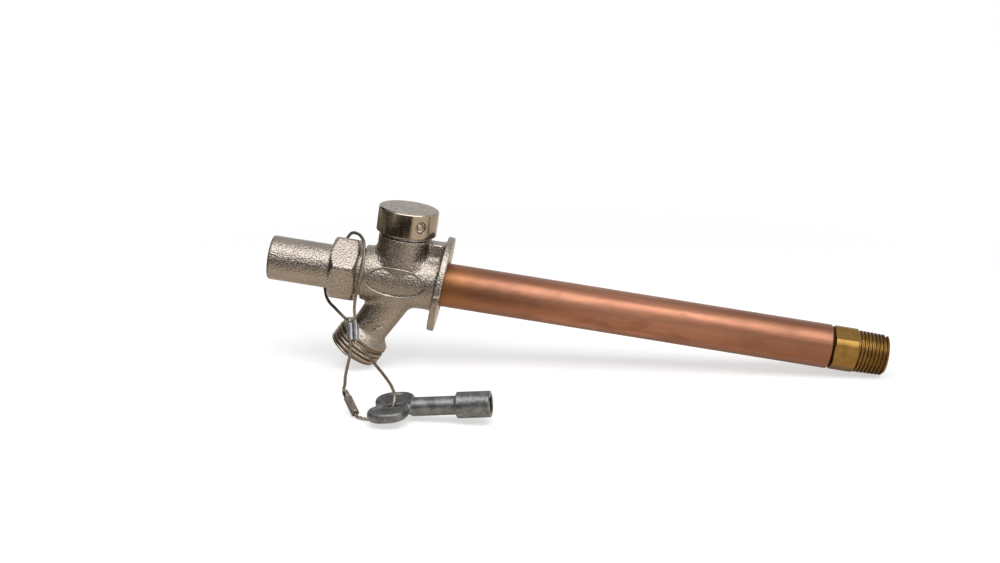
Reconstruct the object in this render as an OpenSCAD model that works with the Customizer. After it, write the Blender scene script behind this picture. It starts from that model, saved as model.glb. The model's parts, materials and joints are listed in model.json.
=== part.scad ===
// Frost free sillcock with a lock shield, a vacuum breaker and a tethered loose key.
// X runs along the tube, from the key end towards the inlet, and Z points up.
// The origin is where the tube's axis meets the wall face of the flange.

/* [Copper tube] */
// Outside diameter of the tube
tube_od = 22.2; // [20:0.1:24]
// Wall of the tube
tube_wall = 1.14; // [0.8:0.02:1.4]
// Length of tube that shows between the flange and the inlet fitting
tube_show = 195.5; // [120:0.1:320]
// Depth of the tube's socket in the head
tube_socket_depth = 12; // [9:0.5:13]

/* [Wall flange] */
// Outside diameter of the flange
flange_od = 48.5; // [47:0.5:50]
// Thickness of the flange
flange_t = 3.3; // [2.5:0.1:4.5]
// Pitch of the flange, which lets the mounted tube fall towards the spout
flange_pitch = 5; // [0:0.5:6]
// Circle on which the two screw holes lie
screw_pcd = 44; // [42.5:0.1:44.5]
// Diameter of the screw holes, which break out through the rim
screw_hole_d = 5.5; // [5.2:0.1:6]
// Width of the relief round the tube in the wall face
tube_relief_w = 1.5; // [1.2:0.1:2]
// Depth of that relief
tube_relief_h = 0.8; // [0.5:0.1:1.2]

/* [Head casting] */
// Outside diameter of the barrel
barrel_od = 28; // [27:0.2:30]
// Length of the head, from the wall face to the bonnet's gasket
head_l = 41.3; // [40:0.1:46]
// Bore of the water passage
water_bore_d = 18.6; // [16:0.1:19.4]
// Wall behind the packing
gland_wall = 3.3; // [2:0.1:4]
// Half width of the rib between the breaker housing and the flange
rib_half_w = 4.5; // [3:0.1:6]
// Height of the rib above the tube's axis
rib_top = 21; // [17:0.1:22]
// Width of the raised oval on the near side
oval_w = 30; // [24:0.5:32]
// Height of the raised oval
oval_h = 14.5; // [10:0.5:16]
// Width of the oval's rim
oval_rim_w = 1.2; // [0.8:0.1:2]
// Height of the oval's rim above the barrel
oval_raise = 0.8; // [0.4:0.1:1.2]

/* [Hose spout] */
// Distance from the front end of the barrel back to the root of the spout's axis
spout_setback = 22; // [20:0.1:23]
// Slope of the spout below the tube's axis
spout_angle = 62; // [58:0.5:68]
// Length of the spout along its axis
spout_l = 47.7; // [46:0.1:54]
// Diameter of the spout's neck above the hose thread
spout_neck_d = 18.6; // [17.6:0.1:20]
// Diameter of the neck where it leaves the barrel
spout_root_d = 21.2; // [19:0.1:23]
// Crest diameter of the hose thread
hose_thread_od = 26.8; // [26.4:0.1:27.2]
// Depth of the hose thread
hose_thread_depth = 1.2; // [0.8:0.05:1.4]
// Pitch of the hose thread
hose_pitch = 2.21; // [2:0.01:2.3]
// Crests on the hose thread
hose_crests = 4; // [3:1:4]
// Bore of the spout
spout_bore_d = 14.6; // [12:0.1:15]
// Bore of the spout's mouth
mouth_bore_d = 19.6; // [17:0.1:20.6]
// Depth of the spout's mouth
mouth_depth = 8.5; // [6:0.1:10]

/* [Vacuum breaker] */
// Distance from the front end of the barrel back to the breaker's axis
breaker_setback = 18.7; // [17:0.1:20]
// Width of the housing's shoulder outside its neck
housing_shoulder_w = 1.2; // [0.8:0.1:1.5]
// Height of the housing's shoulder above the tube's axis
housing_shoulder = 22.2; // [21:0.1:22.6]
// Height of the housing's top above the tube's axis
housing_top = 32.4; // [32:0.1:34]
// Diameter of the housing inside the cap
housing_neck_d = 24.4; // [23.6:0.1:25]
// Bore of the breaker chamber
chamber_d = 18.4; // [17.4:0.1:18.8]
// Height of the ledge that the float rests on
ledge_z = 14; // [13:0.1:14.6]
// Bore of the port below the float
port_d = 10; // [8:0.1:11]
// Free space between the housing's neck and the wall of the cap
cap_gap = 1.55; // [1:0.05:2.5]
// Height of the cap
cap_h = 12.6; // [12.2:0.1:14]
// Wall of the cap's skirt
cap_wall = 1.35; // [1.1:0.05:1.5]
// Thickness of the cap's top
cap_top_t = 2; // [1.4:0.1:2.6]
// Diameter of the cap's set screw
set_screw_d = 5.6; // [5:0.1:6]
// Place of the set screw round the cap, from the near side towards the wall
set_screw_angle = 32.5; // [0:0.5:45]
// Height of the set screw above the tube's axis
set_screw_z = 30.3; // [29.4:0.1:30.6]
// Lift of the float
float_lift = 4; // [2:0.1:4.4]
// Thickness of the float's disc
float_t = 4.4; // [3.6:0.1:4.8]
// Thickness of the float's seal
float_seal_t = 1.6; // [1.2:0.1:2]
// Diameter of the float's guide pin
float_pin_d = 4; // [3.6:0.1:4.2]
// Wire of the float's spring
float_wire = 0.5; // [0.4:0.05:0.6]
// Turns of the float's spring
float_turns = 6; // [4:1:7]

/* [Bonnet] */
// Outside diameter of the lock shield
shield_od = 22.4; // [21:0.1:23]
// Length of the lock shield
shield_l = 31.6; // [28:0.1:34]
// Bore of the lock shield, which the key's socket enters
shield_bore_d = 15.6; // [14.6:0.1:16.6]
// Hexagon across its flats
hex_af = 30.7; // [30:0.1:31]
// Turn of the tightened hexagon, which brings a corner up on the near side
hex_turn = 16; // [0:1:30]
// Length of the hexagon
hex_l = 13.5; // [12:0.1:14.5]
// Length of the bevel on the hexagon's corners at the shield
hex_bevel_out = 2.6; // [1:0.1:3]
// Length of the bevel on the hexagon's corners at the neck
hex_bevel_in = 1.5; // [1:0.1:3]
// Diameter of the neck between the hexagon and the head
bonnet_neck_d = 23.8; // [23.2:0.1:25]
// Length of the neck
bonnet_neck_l = 1.8; // [1.5:0.1:2.4]
// Crest diameter of the bonnet's thread in the head
bonnet_thread_od = 21.8; // [20:0.1:22.4]
// Length of the bonnet's threaded spigot
spigot_l = 9.4; // [8:0.1:9.8]
// Thickness of the bonnet's gasket
gasket_t = 0.8; // [0.5:0.1:1]

/* [Stem and packing] */
// Stem square across its flats
square_af = 7; // [6.4:0.1:7.4]
// Length of the square
square_l = 13; // [10:0.1:14]
// Depth of the square's end inside the lock shield
square_recess = 10; // [8:0.1:11]
// Diameter of the stem
stem_d = 9.8; // [9.4:0.1:10.4]
// Diameter of the stem behind the square
stem_neck_d = 8; // [7.4:0.1:8.6]
// Crest diameter of the operating thread
stem_thread_od = 12; // [11.4:0.1:12.6]
// Length of the operating thread
stem_thread_l = 8.5; // [6:0.1:9]
// Distance that the valve opens
travel = 6.5; // [4:0.1:7]
// Thickness of the stem's O-rings
o_ring_t = 1.7; // [1.4:0.1:1.9]
// Distance between the O-rings
o_ring_gap = 3.5; // [2.6:0.1:3.8]
// Diameter of the packing
packing_od = 16.4; // [15:0.1:17.4]
// Length of the packing
packing_l = 4; // [3:0.1:4.4]
// Thickness of the packing washer
packing_washer_t = 1.2; // [0.8:0.1:1.6]
// Diameter of the operating rod
rod_d = 6; // [5:0.1:6.6]
// Depth of the rod in the stem
rod_grip = 8; // [6:0.1:9]
// Diameter of the cross pin through the stem and rod
cross_pin_d = 2; // [1.5:0.1:2.4]
// Length of the rod guide
guide_l = 8; // [5:0.5:12]

/* [Valve and inlet] */
// Gap that shows between the tube's end and the inlet hexagon
inlet_gap = 1.2; // [0.6:0.1:1.6]
// Inlet hexagon across its flats
inlet_hex_af = 20.6; // [20:0.1:21]
// Turn of the inlet's hexagon about the tube's axis
inlet_hex_turn = -28; // [-30:1:30]
// Length of the inlet hexagon
inlet_hex_l = 12.2; // [11:0.1:14]
// Length of the fitting's spigot inside the tube
inlet_spigot_l = 13; // [10:0.1:16]
// Crest diameter at the small end of the pipe thread
pipe_thread_end_d = 20.4; // [20:0.1:20.8]
// Length of the pipe thread
pipe_thread_l = 15.2; // [13:0.1:17]
// Pitch of the pipe thread
pipe_pitch = 1.814; // [1.5:0.002:2]
// Bore of the soldering socket
inlet_bore_d = 15.96; // [15.6:0.02:16.2]
// Depth of the soldering socket
inlet_bore_depth = 12.7; // [10:0.1:13]
// Distance of the valve seat inside the inlet hexagon
seat_depth = 3.8; // [3:0.1:4.4]
// Bore of the valve seat
seat_bore_d = 10; // [8:0.1:10.4]
// Diameter of the seat washer
washer_d = 13.6; // [12.8:0.1:14]
// Thickness of the seat washer
washer_t = 4; // [3:0.1:4.6]
// Length of the seat washer's holder
holder_l = 8; // [7:0.1:9]

/* [Tether] */
// Diameter of the wire rope
cable_d = 1.6; // [1.2:0.1:1.8]
// Length of the crimp sleeve
crimp_l = 8.2; // [7:0.1:9]
// Length of the cable connector
connector_l = 15.9; // [15:0.1:17]
// Diameter of the connector's barrel
connector_d = 4; // [3.6:0.1:4.4]

/* [Loose key] */
// Length of the key
key_l = 56.3; // [54:0.1:64]
// Diameter of the key's socket
key_socket_d = 12.2; // [12:0.1:13]
// Length of the key's socket
key_socket_l = 14.9; // [14:0.1:19]
// Diameter of the key's shaft
key_shaft_d = 8.8; // [8.2:0.1:10]
// Length of the bow
bow_l = 18.8; // [18:0.1:20]
// Width of the bow
bow_w = 33.4; // [31:0.1:36]
// Radius of the ends of the bow's two wings
wing_r = 8.2; // [7:0.1:8.8]
// Depth of the notch between the wings
notch_depth = 3.5; // [2:0.1:4]
// Thickness of the bow's rim
bow_rim_t = 4.4; // [4:0.1:4.8]
// Thickness of the bow's web
bow_web_t = 2.2; // [1.8:0.1:3]
// Length of the slot in the bow
slot_l = 7; // [6.6:0.1:7.6]
// Width of the slot in the bow
slot_w = 3.6; // [3.2:0.1:3.9]

/* [Clearances] */
// Radial clearance of a thread in its hole
thread_clear = 0.1; // [0.05:0.01:0.2]
// Radial clearance of a piece that is soldered or pressed into its seat
seat_clear = 0.03; // [0.01:0.01:0.06]
// Radial clearance of a piece that turns or slides
run_clear = 0.06; // [0.02:0.01:0.1]
// Radial clearance of a piece that passes freely
free_clear = 0.3; // [0.25:0.05:0.5]

/* [Hidden] */
$fn = 72;
eps = 0.01;
chamfer = 0.6;

// Places along the tube's axis, from the head to the key end
barrel_r = barrel_od / 2;
tube_r = tube_od / 2;
tube_bore_r = tube_r - tube_wall;
bonnet_face_x = -head_l - gasket_t;
spout_x = head_l - spout_setback;
breaker_x = head_l - breaker_setback;
hex_x1 = bonnet_face_x - bonnet_neck_l;
hex_x0 = hex_x1 - hex_l;
shield_x0 = hex_x0 - shield_l;
spigot_x1 = bonnet_face_x + spigot_l;
packing_x0 = spigot_x1 + packing_washer_t;
packing_x1 = packing_x0 + packing_l;
water_x0 = packing_x1 + gland_wall;
head_thread_r = bonnet_thread_od / 2 + thread_clear;

// Places of the stem, which rests with the valve shut
stem_r = stem_d / 2;
stem_land_r = stem_r + 0.25;
square_x0 = shield_x0 + square_recess;
square_x1 = square_x0 + square_l;
nut_x1 = hex_x1 - 2;
stem_thread_x1 = nut_x1 - free_clear;
stem_thread_x0 = stem_thread_x1 - stem_thread_l;
stem_x1 = water_x0 + travel + 1;
rod_x0 = stem_x1 - rod_grip;
o_ring_x = [spigot_x1 - 3 - o_ring_gap, spigot_x1 - 3];

// Places of the valve and the inlet
inlet_hex_x0 = tube_show + inlet_gap;
inlet_hex_x1 = inlet_hex_x0 + inlet_hex_l;
inlet_x1 = inlet_hex_x1 + pipe_thread_l;
seat_x = inlet_hex_x0 + seat_depth;
seat_lip_h = 1.3;
seat_lip_w = 1.2;
washer_x0 = seat_x - washer_t;
holder_x0 = washer_x0 - holder_l;
rod_x1 = holder_x0 + holder_l / 2;
washer_screw_d = 3.2;
washer_screw_head_d = 5.8;
washer_screw_head_t = 1.7;
washer_screw_grip = 2.6;
holder_d = washer_d + 0.8;
fitting_bore_r = holder_d / 2 + 1.2;

// Heights of the vacuum breaker above the tube's axis
vent_gasket_t = 0.6;
vent_flange_t = 1;
vent_post_h = 0.6;
vent_flange_z = housing_top + vent_gasket_t;
cap_ceiling_z = vent_flange_z + vent_flange_t + vent_post_h;
cap_top_z = cap_ceiling_z + cap_top_t;
float_top_z = ledge_z + float_t;
vent_face_z = float_top_z + float_seal_t + float_lift;
spring_top_z = vent_face_z + 3.5;
float_pin_top_z = cap_ceiling_z - float_lift - free_clear;
spring_r = float_pin_d / 2 + float_wire / 2 + 0.4;
spring_pocket_r = spring_r + float_wire / 2 + free_clear;
set_screw_tip_d = 2.2;
set_groove_h = set_screw_tip_d + 0.4;
set_groove_r = housing_neck_d / 2 - 1.2;
housing_od = housing_neck_d + 2 * housing_shoulder_w;
cap_od = housing_neck_d + 2 * (cap_gap + cap_wall);

// Spout measured along its own axis
thread_top = spout_l - hose_pitch * hose_crests - 0.6;
collar_top = thread_top - 1.6;
flare_top = collar_top - 3.4;
collar_r = hose_thread_od / 2 - 0.3;
hose_root_r = hose_thread_od / 2 - hose_thread_depth;

// Place and turn of the loose key, which lies in front of the spout on the ground that the
// spout and the inlet also touch
key_place = [-9.5, -76.9, -39.9];
ground_tilt = 8.5;
key_yaw = -5;
key_rise = 5.2;
slot_u = 11.1;
key_socket_u = key_l - key_socket_l;
key_square_af = square_af + 0.4;
key_square_depth = 13;
rim_w = 2.6;
notch_r = 4;

// Place and direction of the crimp sleeve and of the cable's connector
cable_r = cable_d / 2;
cable_clear = 0.25;
crimp_place = [-40.5, -20.8, -25.3];
crimp_turn = [0, 156.2, -60.3];
crimp_spin = 32;
crimp_half_gap = cable_r + cable_clear + 0.3;
connector_place = [-35, -64, -41.3];
connector_turn = [0, 107.6, -59.4];
ferrule_l = 4;
cable_grip = 2.5;

// Turn that lays local Z along a direction given by its angle from Z and its heading
function turned(p, turn) =
    let (a = turn[1], h = turn[2])
    let (q = [p[0] * cos(a) + p[2] * sin(a), p[1], p[2] * cos(a) - p[0] * sin(a)])
    [q[0] * cos(h) - q[1] * sin(h), q[0] * sin(h) + q[1] * cos(h), q[2]];
function spun(p, s) = [p[0] * cos(s) - p[1] * sin(s), p[0] * sin(s) + p[1] * cos(s), p[2]];
function in_crimp(side, along) =
    crimp_place + turned(spun([0, side * crimp_half_gap, along], crimp_spin), crimp_turn);
function in_connector(along) = connector_place + turned([0, 0, along], connector_turn);

// Route of the cable: connector, crimp, round the bonnet, crimp, the key's bow, connector
left_leg = [[-36.6, -55.5, -40.6], [-37.8, -48, -39.6], [-38.5, -40, -37.8], [-39, -32.5, -35.4],
    [-39.7, -27, -32.9]];
upper_loop = [[-44.6, -17.7, -20.8], [-48.9, -13.6, -19.4], [-52.6, -9.2, -18.3], [-55.8, -5.4, -17.4],
    [-58.5, -1.2, -15.7], [-60.6, 3.6, -12.2], [-61.4, 9.4, -11.2], [-60.6, 15.4, -8.2], [-58.6, 19, -2.6],
    [-57, 19, 4], [-54.8, 16.6, 10], [-52.2, 12, 15], [-50, 6, 17.7], [-47.4, -0.8, 19.5],
    [-44.4, -6.4, 20], [-41.9, -10.8, 18.3], [-40.5, -14.8, 13.8], [-40, -17.6, 7.8], [-40.7, -18.8, 1],
    [-41.3, -19, -7], [-41.4, -19, -13.4]];
right_leg = [[-33.9, -26, -31.6], [-29.8, -31.2, -33.3], [-26.2, -37.6, -34], [-22.1, -45.6, -34.2],
    [-18, -54, -34.4], [-14.3, -62.4, -34.6], [-11.7, -69.6, -35.2], [-10.6, -73.6, -36.4],
    [-10.5, -75.9, -39], [-11.3, -77.2, -42.2], [-13.6, -78.8, -44.5], [-17.4, -80.4, -45.7],
    [-21.4, -81, -46.2], [-24.6, -80.1, -46.5]];
crimp_ends = [crimp_l / 2 + 1.4, crimp_l / 2, -crimp_l / 2, -crimp_l / 2 - 1.4];
route = concat([for (s = [cable_grip, 0, -2]) in_connector(s)], left_leg,
    [for (s = crimp_ends) in_crimp(-1, s)], upper_loop,
    [for (s = [3, 2, 1, 0]) in_crimp(1, crimp_ends[s])], right_leg,
    [for (s = [2, 0, -cable_grip]) in_connector(connector_l + s)]);
ring_steps = 2;
cable_sides = 8;

// Smooth curve through a list of points
function curve_point(p, i, t) =
    let (a = p[max(i - 1, 0)], b = p[i], c = p[i + 1], d = p[min(i + 2, len(p) - 1)])
    0.5 * (2 * b + (c - a) * t + (2 * a - 5 * b + 4 * c - d) * t * t + (3 * b - a - 3 * c + d) * t * t * t);
function smooth(p, steps) = concat(
    [for (i = [0:len(p) - 2], s = [0:steps - 1]) curve_point(p, i, s / steps)], [p[len(p) - 1]]);
function unit(v) = v / norm(v);
function headings(p) = [for (i = [0:len(p) - 1]) unit(p[min(i + 1, len(p) - 1)] - p[max(i - 1, 0)])];
function square_to(n, t) = unit(n - (n * t) * t);
// Side direction of each ring, carried along the curve without twist
function sides_of(t) = [for (i = 0, n = square_to([0, 0, 1], t[0]); i < len(t);
    i = i + 1, n = i < len(t) ? square_to(n, t[i]) : n) n];
function length_of(p, i = 0) = i >= len(p) - 1 ? 0 : norm(p[i + 1] - p[i]) + length_of(p, i + 1);

// Round tube swept along a list of points, with flat ends
module swept_tube(path, r, sides) {
    t = headings(path);
    n = sides_of(t);
    last = len(path) - 1;
    rings = [for (i = [0:last], k = [0:sides - 1])
        path[i] + r * (cos(360 * k / sides) * n[i] + sin(360 * k / sides) * cross(t[i], n[i]))];
    walls = [for (i = [0:last - 1], k = [0:sides - 1], h = [0, 1])
        let (a = i * sides + k, b = i * sides + (k + 1) % sides)
        h == 0 ? [a, a + sides, b] : [b, a + sides, b + sides]];
    ends = [for (k = [1:sides - 2], h = [0, 1])
        h == 0 ? [0, k, k + 1] : [last * sides, last * sides + k + 1, last * sides + k]];
    polyhedron(points = rings, faces = concat(walls, ends), convexity = 10);
}

// Solid turned about the tube's axis from points of radius and place
module turned_x(profile) {
    rotate([0, 90, 0]) rotate_extrude() polygon(profile);
}

// Round bar along the tube's axis between two places
module bar_x(x0, x1, r) {
    translate([x0, 0, 0]) rotate([0, 90, 0]) cylinder(h = x1 - x0, r = r);
}

// Ring along the tube's axis between two places
module ring_x(x0, x1, r_out, r_in) {
    difference() {
        bar_x(x0, x1, r_out);
        bar_x(x0 - 1, x1 + 1, r_in);
    }
}

// Hexagonal bar along the tube's axis with a corner towards each side and turned ends
module hex_x(x0, x1, af, turned_r, end_r, turn, bevels) {
    intersection() {
        translate([x0, 0, 0]) rotate([-turn, 0, 0]) rotate([0, 90, 0]) rotate([0, 0, 90])
            cylinder(h = x1 - x0, r = af / sqrt(3), $fn = 6);
        turned_x([[0, x0], [end_r, x0], [turned_r, x0 + bevels[0]], [turned_r, x1 - bevels[1]],
            [end_r, x1], [0, x1]]);
    }
}

// Points of a thread's ridges from one place to the next, with flat crests
function ridges(r0, r1, place, pitch, count, depth) = [for (i = [0:count - 1], k = [0:3])
    let (at = place + i * pitch, r = r0 + (r1 - r0) * i / max(count - 1, 1))
    [k == 0 || k == 3 ? r - depth : r, at + pitch * [0.06, 0.34, 0.62, 0.94][k]]];

// Frame of the spout, with local Z from the tube's axis to the mouth
module spout_frame() {
    translate([-spout_x, 0, 0]) rotate([0, -90 - spout_angle, 0]) children();
}

// Frame of the vacuum breaker, with local Z upwards
module breaker_frame() {
    translate([-breaker_x, 0, 0]) children();
}

// Frame of the set screw, with local Z pointing out of the cap
module set_screw_frame() {
    breaker_frame() translate([0, 0, set_screw_z])
        rotate([0, 0, set_screw_angle - 90]) rotate([0, 90, 0]) children();
}

// Frame of the flange, with local Z towards the wall
module flange_frame() {
    rotate([0, 90 + flange_pitch, 0]) children();
}

// Oval outline with its width along local X
module oval(w, h) {
    polygon([for (i = [0:35]) [w / 2 * cos(10 * i), h / 2 * sin(10 * i)]]);
}

// Flange plate with two screw holes that break out through its rim
module flange_plate() {
    flange_frame() difference() {
        translate([0, 0, -flange_t]) cylinder(h = flange_t, d = flange_od);
        for (side = [-1, 1])
            translate([0, side * screw_pcd / 2, -flange_t - 1])
                cylinder(h = flange_t + 2, d = screw_hole_d);
    }
}

// Spout with its collar and hose thread
module spout_body() {
    spout_frame() rotate_extrude() polygon(concat(
        [[0, 0], [spout_root_d / 2, 0], [spout_neck_d / 2, flare_top], [collar_r, collar_top],
            [collar_r, thread_top - 0.4], [hose_root_r, thread_top]],
        ridges(hose_thread_od / 2, hose_thread_od / 2, thread_top,
            hose_pitch, hose_crests, hose_thread_depth),
        [[hose_root_r, spout_l], [0, spout_l]]));
}

// Raised oval rim that follows the near side of the barrel
module oval_rim() {
    intersection() {
        bar_x(-head_l, -flange_t, barrel_r + oval_raise);
        translate([-breaker_x - 1.2, 0, 0.5]) rotate([90, 0, 0])
            linear_extrude(height = barrel_od) difference() {
                oval(oval_w, oval_h);
                oval(oval_w - 2 * oval_rim_w, oval_h - 2 * oval_rim_w);
            }
    }
}

// Breaker housing with its shoulder, its neck inside the cap and the set screw's groove
module housing_body() {
    breaker_frame() rotate_extrude() polygon([[0, 0], [housing_od / 2, 0], [housing_od / 2, housing_shoulder],
        [housing_neck_d / 2, housing_shoulder], [housing_neck_d / 2, set_screw_z - set_groove_h / 2],
        [set_groove_r, set_screw_z - set_groove_h / 2], [set_groove_r, set_screw_z + set_groove_h / 2],
        [housing_neck_d / 2, set_screw_z + set_groove_h / 2], [housing_neck_d / 2, housing_top],
        [0, housing_top]]);
}

module head_casting() {
    color("Silver") difference() {
        union() {
            bar_x(-head_l, -flange_t / 2, barrel_r);
            flange_plate();
            spout_body();
            oval_rim();
            housing_body();
            translate([-breaker_x, -rib_half_w, 0])
                cube([breaker_x - flange_t / 2, 2 * rib_half_w, rib_top]);
        }
        bar_x(-head_l - 1, spigot_x1, head_thread_r);
        bar_x(spigot_x1 - eps, packing_x1, packing_od / 2 + seat_clear);
        bar_x(packing_x1 - eps, water_x0 + eps, stem_r + free_clear);
        bar_x(water_x0, -tube_socket_depth + eps, water_bore_d / 2);
        bar_x(-tube_socket_depth, flange_od, tube_r + seat_clear);
        flange_frame() translate([0, 0, -tube_relief_h])
            cylinder(h = flange_od, d = tube_od + 2 * tube_relief_w);
        spout_frame() cylinder(h = spout_l + 1, d = spout_bore_d);
        spout_frame() translate([0, 0, spout_l - mouth_depth])
            cylinder(h = mouth_depth + 1, d = mouth_bore_d);
        breaker_frame() cylinder(h = ledge_z + 1, d = port_d);
        breaker_frame() translate([0, 0, ledge_z]) cylinder(h = housing_top, d = chamber_d);
    }
}

module lock_shield_bonnet() {
    shield_r = shield_od / 2;
    spigot_root_r = bonnet_thread_od / 2 - 0.9;
    spigot_pitch = spigot_l / 5;
    color("Silver") difference() {
        union() {
            turned_x([[0, shield_x0], [shield_r - chamfer, shield_x0], [shield_r, shield_x0 + chamfer],
                [shield_r, hex_x0 + 1], [0, hex_x0 + 1]]);
            hex_x(hex_x0, hex_x1, hex_af, hex_af / sqrt(3) - 0.3, hex_af / 2 - 0.3, hex_turn,
                [hex_bevel_out, hex_bevel_in]);
            bar_x(hex_x1 - 1, bonnet_face_x, bonnet_neck_d / 2);
            turned_x(concat([[0, bonnet_face_x - 1], [spigot_root_r, bonnet_face_x - 1]],
                ridges(bonnet_thread_od / 2, bonnet_thread_od / 2, bonnet_face_x, spigot_pitch, 5, 0.9),
                [[spigot_root_r, spigot_x1], [0, spigot_x1]]));
        }
        bar_x(shield_x0 - 1, stem_thread_x0 - travel - 1, shield_bore_d / 2);
        bar_x(stem_thread_x0 - travel - 1 - eps, nut_x1, stem_thread_od / 2 + free_clear);
        bar_x(nut_x1 - eps, spigot_x1 + 1, stem_land_r);
    }
}

module bonnet_gasket() {
    color("DarkSlateGray") ring_x(bonnet_face_x, -head_l, bonnet_neck_d / 2, head_thread_r);
}

module operating_stem() {
    thread_r = stem_thread_od / 2;
    thread_root_r = stem_neck_d / 2;
    groove_r = stem_land_r - run_clear - o_ring_t;
    groove_half = o_ring_t / 2 + 0.2;
    thread_count = 4;
    color("DarkGoldenrod") difference() {
        union() {
            intersection() {
                translate([square_x0, -square_af / 2, -square_af / 2])
                    cube([square_l + 1, square_af, square_af]);
                turned_x([[0, square_x0], [square_af / 2, square_x0], [square_af * 0.69, square_x0 + 2],
                    [square_af * 0.69, square_x1 + 2], [0, square_x1 + 2]]);
            }
            bar_x(square_x1, stem_thread_x0 + 1, stem_neck_d / 2);
            turned_x(concat([[0, stem_thread_x0], [thread_root_r, stem_thread_x0]],
                ridges(thread_r, thread_r, stem_thread_x0, stem_thread_l / thread_count, thread_count,
                    thread_r - thread_root_r),
                [[thread_root_r, stem_thread_x1], [0, stem_thread_x1]]));
            bar_x(stem_thread_x1 - 1, stem_x1, stem_r);
        }
        for (x = o_ring_x) ring_x(x - groove_half, x + groove_half, stem_d, groove_r);
        bar_x(rod_x0, stem_x1 + 1, rod_d / 2 + seat_clear);
        translate([stem_x1 - rod_grip / 2, 0, -stem_d])
            cylinder(h = 2 * stem_d, d = cross_pin_d + 2 * seat_clear);
    }
}

// O-ring in its groove on the stem
module stem_o_ring(x) {
    color("Black") translate([x, 0, 0]) rotate([0, 90, 0]) rotate_extrude()
        translate([stem_land_r - run_clear - o_ring_t / 2, 0]) circle(d = o_ring_t);
}

module stem_o_ring_outer() {
    stem_o_ring(o_ring_x[0]);
}

module stem_o_ring_inner() {
    stem_o_ring(o_ring_x[1]);
}

module packing_washer() {
    color("Goldenrod") ring_x(spigot_x1, packing_x0, packing_od / 2, stem_r + free_clear);
}

module packing_ring() {
    color("DimGray") ring_x(packing_x0, packing_x1, packing_od / 2, stem_r + run_clear);
}

module operating_rod() {
    color("Peru") difference() {
        bar_x(rod_x0, rod_x1, rod_d / 2);
        translate([stem_x1 - rod_grip / 2, 0, -stem_d])
            cylinder(h = 2 * stem_d, d = cross_pin_d + 2 * seat_clear);
    }
}

module stem_rod_pin() {
    pin_half = stem_r - 0.1;
    color("Gray") translate([stem_x1 - rod_grip / 2, 0, -pin_half])
        cylinder(h = 2 * pin_half, d = cross_pin_d);
}

module rod_guide() {
    flute_r = (tube_bore_r - rod_d / 2) * 0.36;
    flute_at = (tube_bore_r + rod_d / 2) / 2 + flute_r * 0.6;
    x0 = tube_show / 2 - guide_l / 2;
    color("WhiteSmoke") difference() {
        bar_x(x0, x0 + guide_l, tube_bore_r - seat_clear);
        bar_x(x0 - 1, x0 + guide_l + 1, rod_d / 2 + run_clear);
        for (a = [60, 180, 300])
            rotate([a, 0, 0]) translate([0, 0, flute_at]) bar_x(x0 - 1, x0 + guide_l + 1, flute_r);
    }
}

module copper_tube() {
    color("Sienna") ring_x(-tube_socket_depth, tube_show, tube_r, tube_bore_r);
}

module inlet_fitting() {
    pipe_r1 = pipe_thread_end_d / 2;
    pipe_r0 = pipe_r1 + pipe_thread_l / 32;
    pipe_depth = 1;
    crests = floor((pipe_thread_l - 0.6) / pipe_pitch);
    spigot_x0 = inlet_hex_x0 - inlet_spigot_l;
    seat_floor_x = seat_x + seat_lip_h;
    color("DarkGoldenrod") difference() {
        union() {
            bar_x(spigot_x0, inlet_hex_x0 + 1, tube_bore_r - seat_clear);
            hex_x(inlet_hex_x0, inlet_hex_x1, inlet_hex_af, tube_r, inlet_hex_af / 2 - 0.1, inlet_hex_turn,
                [1, 1] * (tube_r - inlet_hex_af / 2) / 2);
            turned_x(concat([[0, inlet_hex_x1 - 1], [pipe_r0 - pipe_depth, inlet_hex_x1 - 1]],
                ridges(pipe_r0, pipe_r1, inlet_hex_x1 + 0.3, pipe_pitch, crests, pipe_depth),
                [[pipe_r1 - pipe_depth, inlet_x1], [0, inlet_x1]]));
        }
        difference() {
            bar_x(spigot_x0 - 1, seat_floor_x, fitting_bore_r);
            ring_x(seat_x, seat_floor_x + 1, seat_bore_d / 2 + seat_lip_w, seat_bore_d / 2);
        }
        bar_x(seat_x - 1, inlet_x1, seat_bore_d / 2);
        bar_x(inlet_x1 - inlet_bore_depth, inlet_x1 + 1, inlet_bore_d / 2);
    }
}

module seat_washer_holder() {
    color("Goldenrod") difference() {
        bar_x(holder_x0, washer_x0, holder_d / 2);
        bar_x(holder_x0 - 1, rod_x1 + free_clear, rod_d / 2 + run_clear);
        bar_x(washer_x0 - washer_screw_grip - free_clear, washer_x0 + 1, washer_screw_d / 2 + seat_clear);
    }
}

module seat_washer() {
    color("Black") ring_x(washer_x0, seat_x, washer_d / 2, washer_screw_d / 2 + thread_clear);
}

module seat_washer_screw() {
    slot_half = 0.4;
    color("Goldenrod") difference() {
        union() {
            bar_x(washer_x0 - washer_screw_grip, seat_x + 0.5, washer_screw_d / 2);
            bar_x(seat_x, seat_x + washer_screw_head_t, washer_screw_head_d / 2);
        }
        translate([seat_x + washer_screw_head_t - 0.8, -slot_half, -washer_screw_head_d])
            cube([1, 2 * slot_half, 2 * washer_screw_head_d]);
    }
}

module vacuum_breaker_cap() {
    cap_r = cap_od / 2;
    skirt_z = cap_top_z - cap_h;
    color("Silver") difference() {
        breaker_frame() rotate_extrude() polygon([[0, cap_ceiling_z], [cap_r - cap_wall, cap_ceiling_z],
            [cap_r - cap_wall, skirt_z], [cap_r - 0.3, skirt_z], [cap_r, skirt_z + 0.3],
            [cap_r, cap_top_z - chamfer], [cap_r - chamfer, cap_top_z], [0, cap_top_z]]);
        set_screw_frame() translate([0, 0, housing_neck_d / 2 + 0.5])
            cylinder(h = cap_r, d = set_screw_d + 2 * seat_clear);
    }
}

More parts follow.
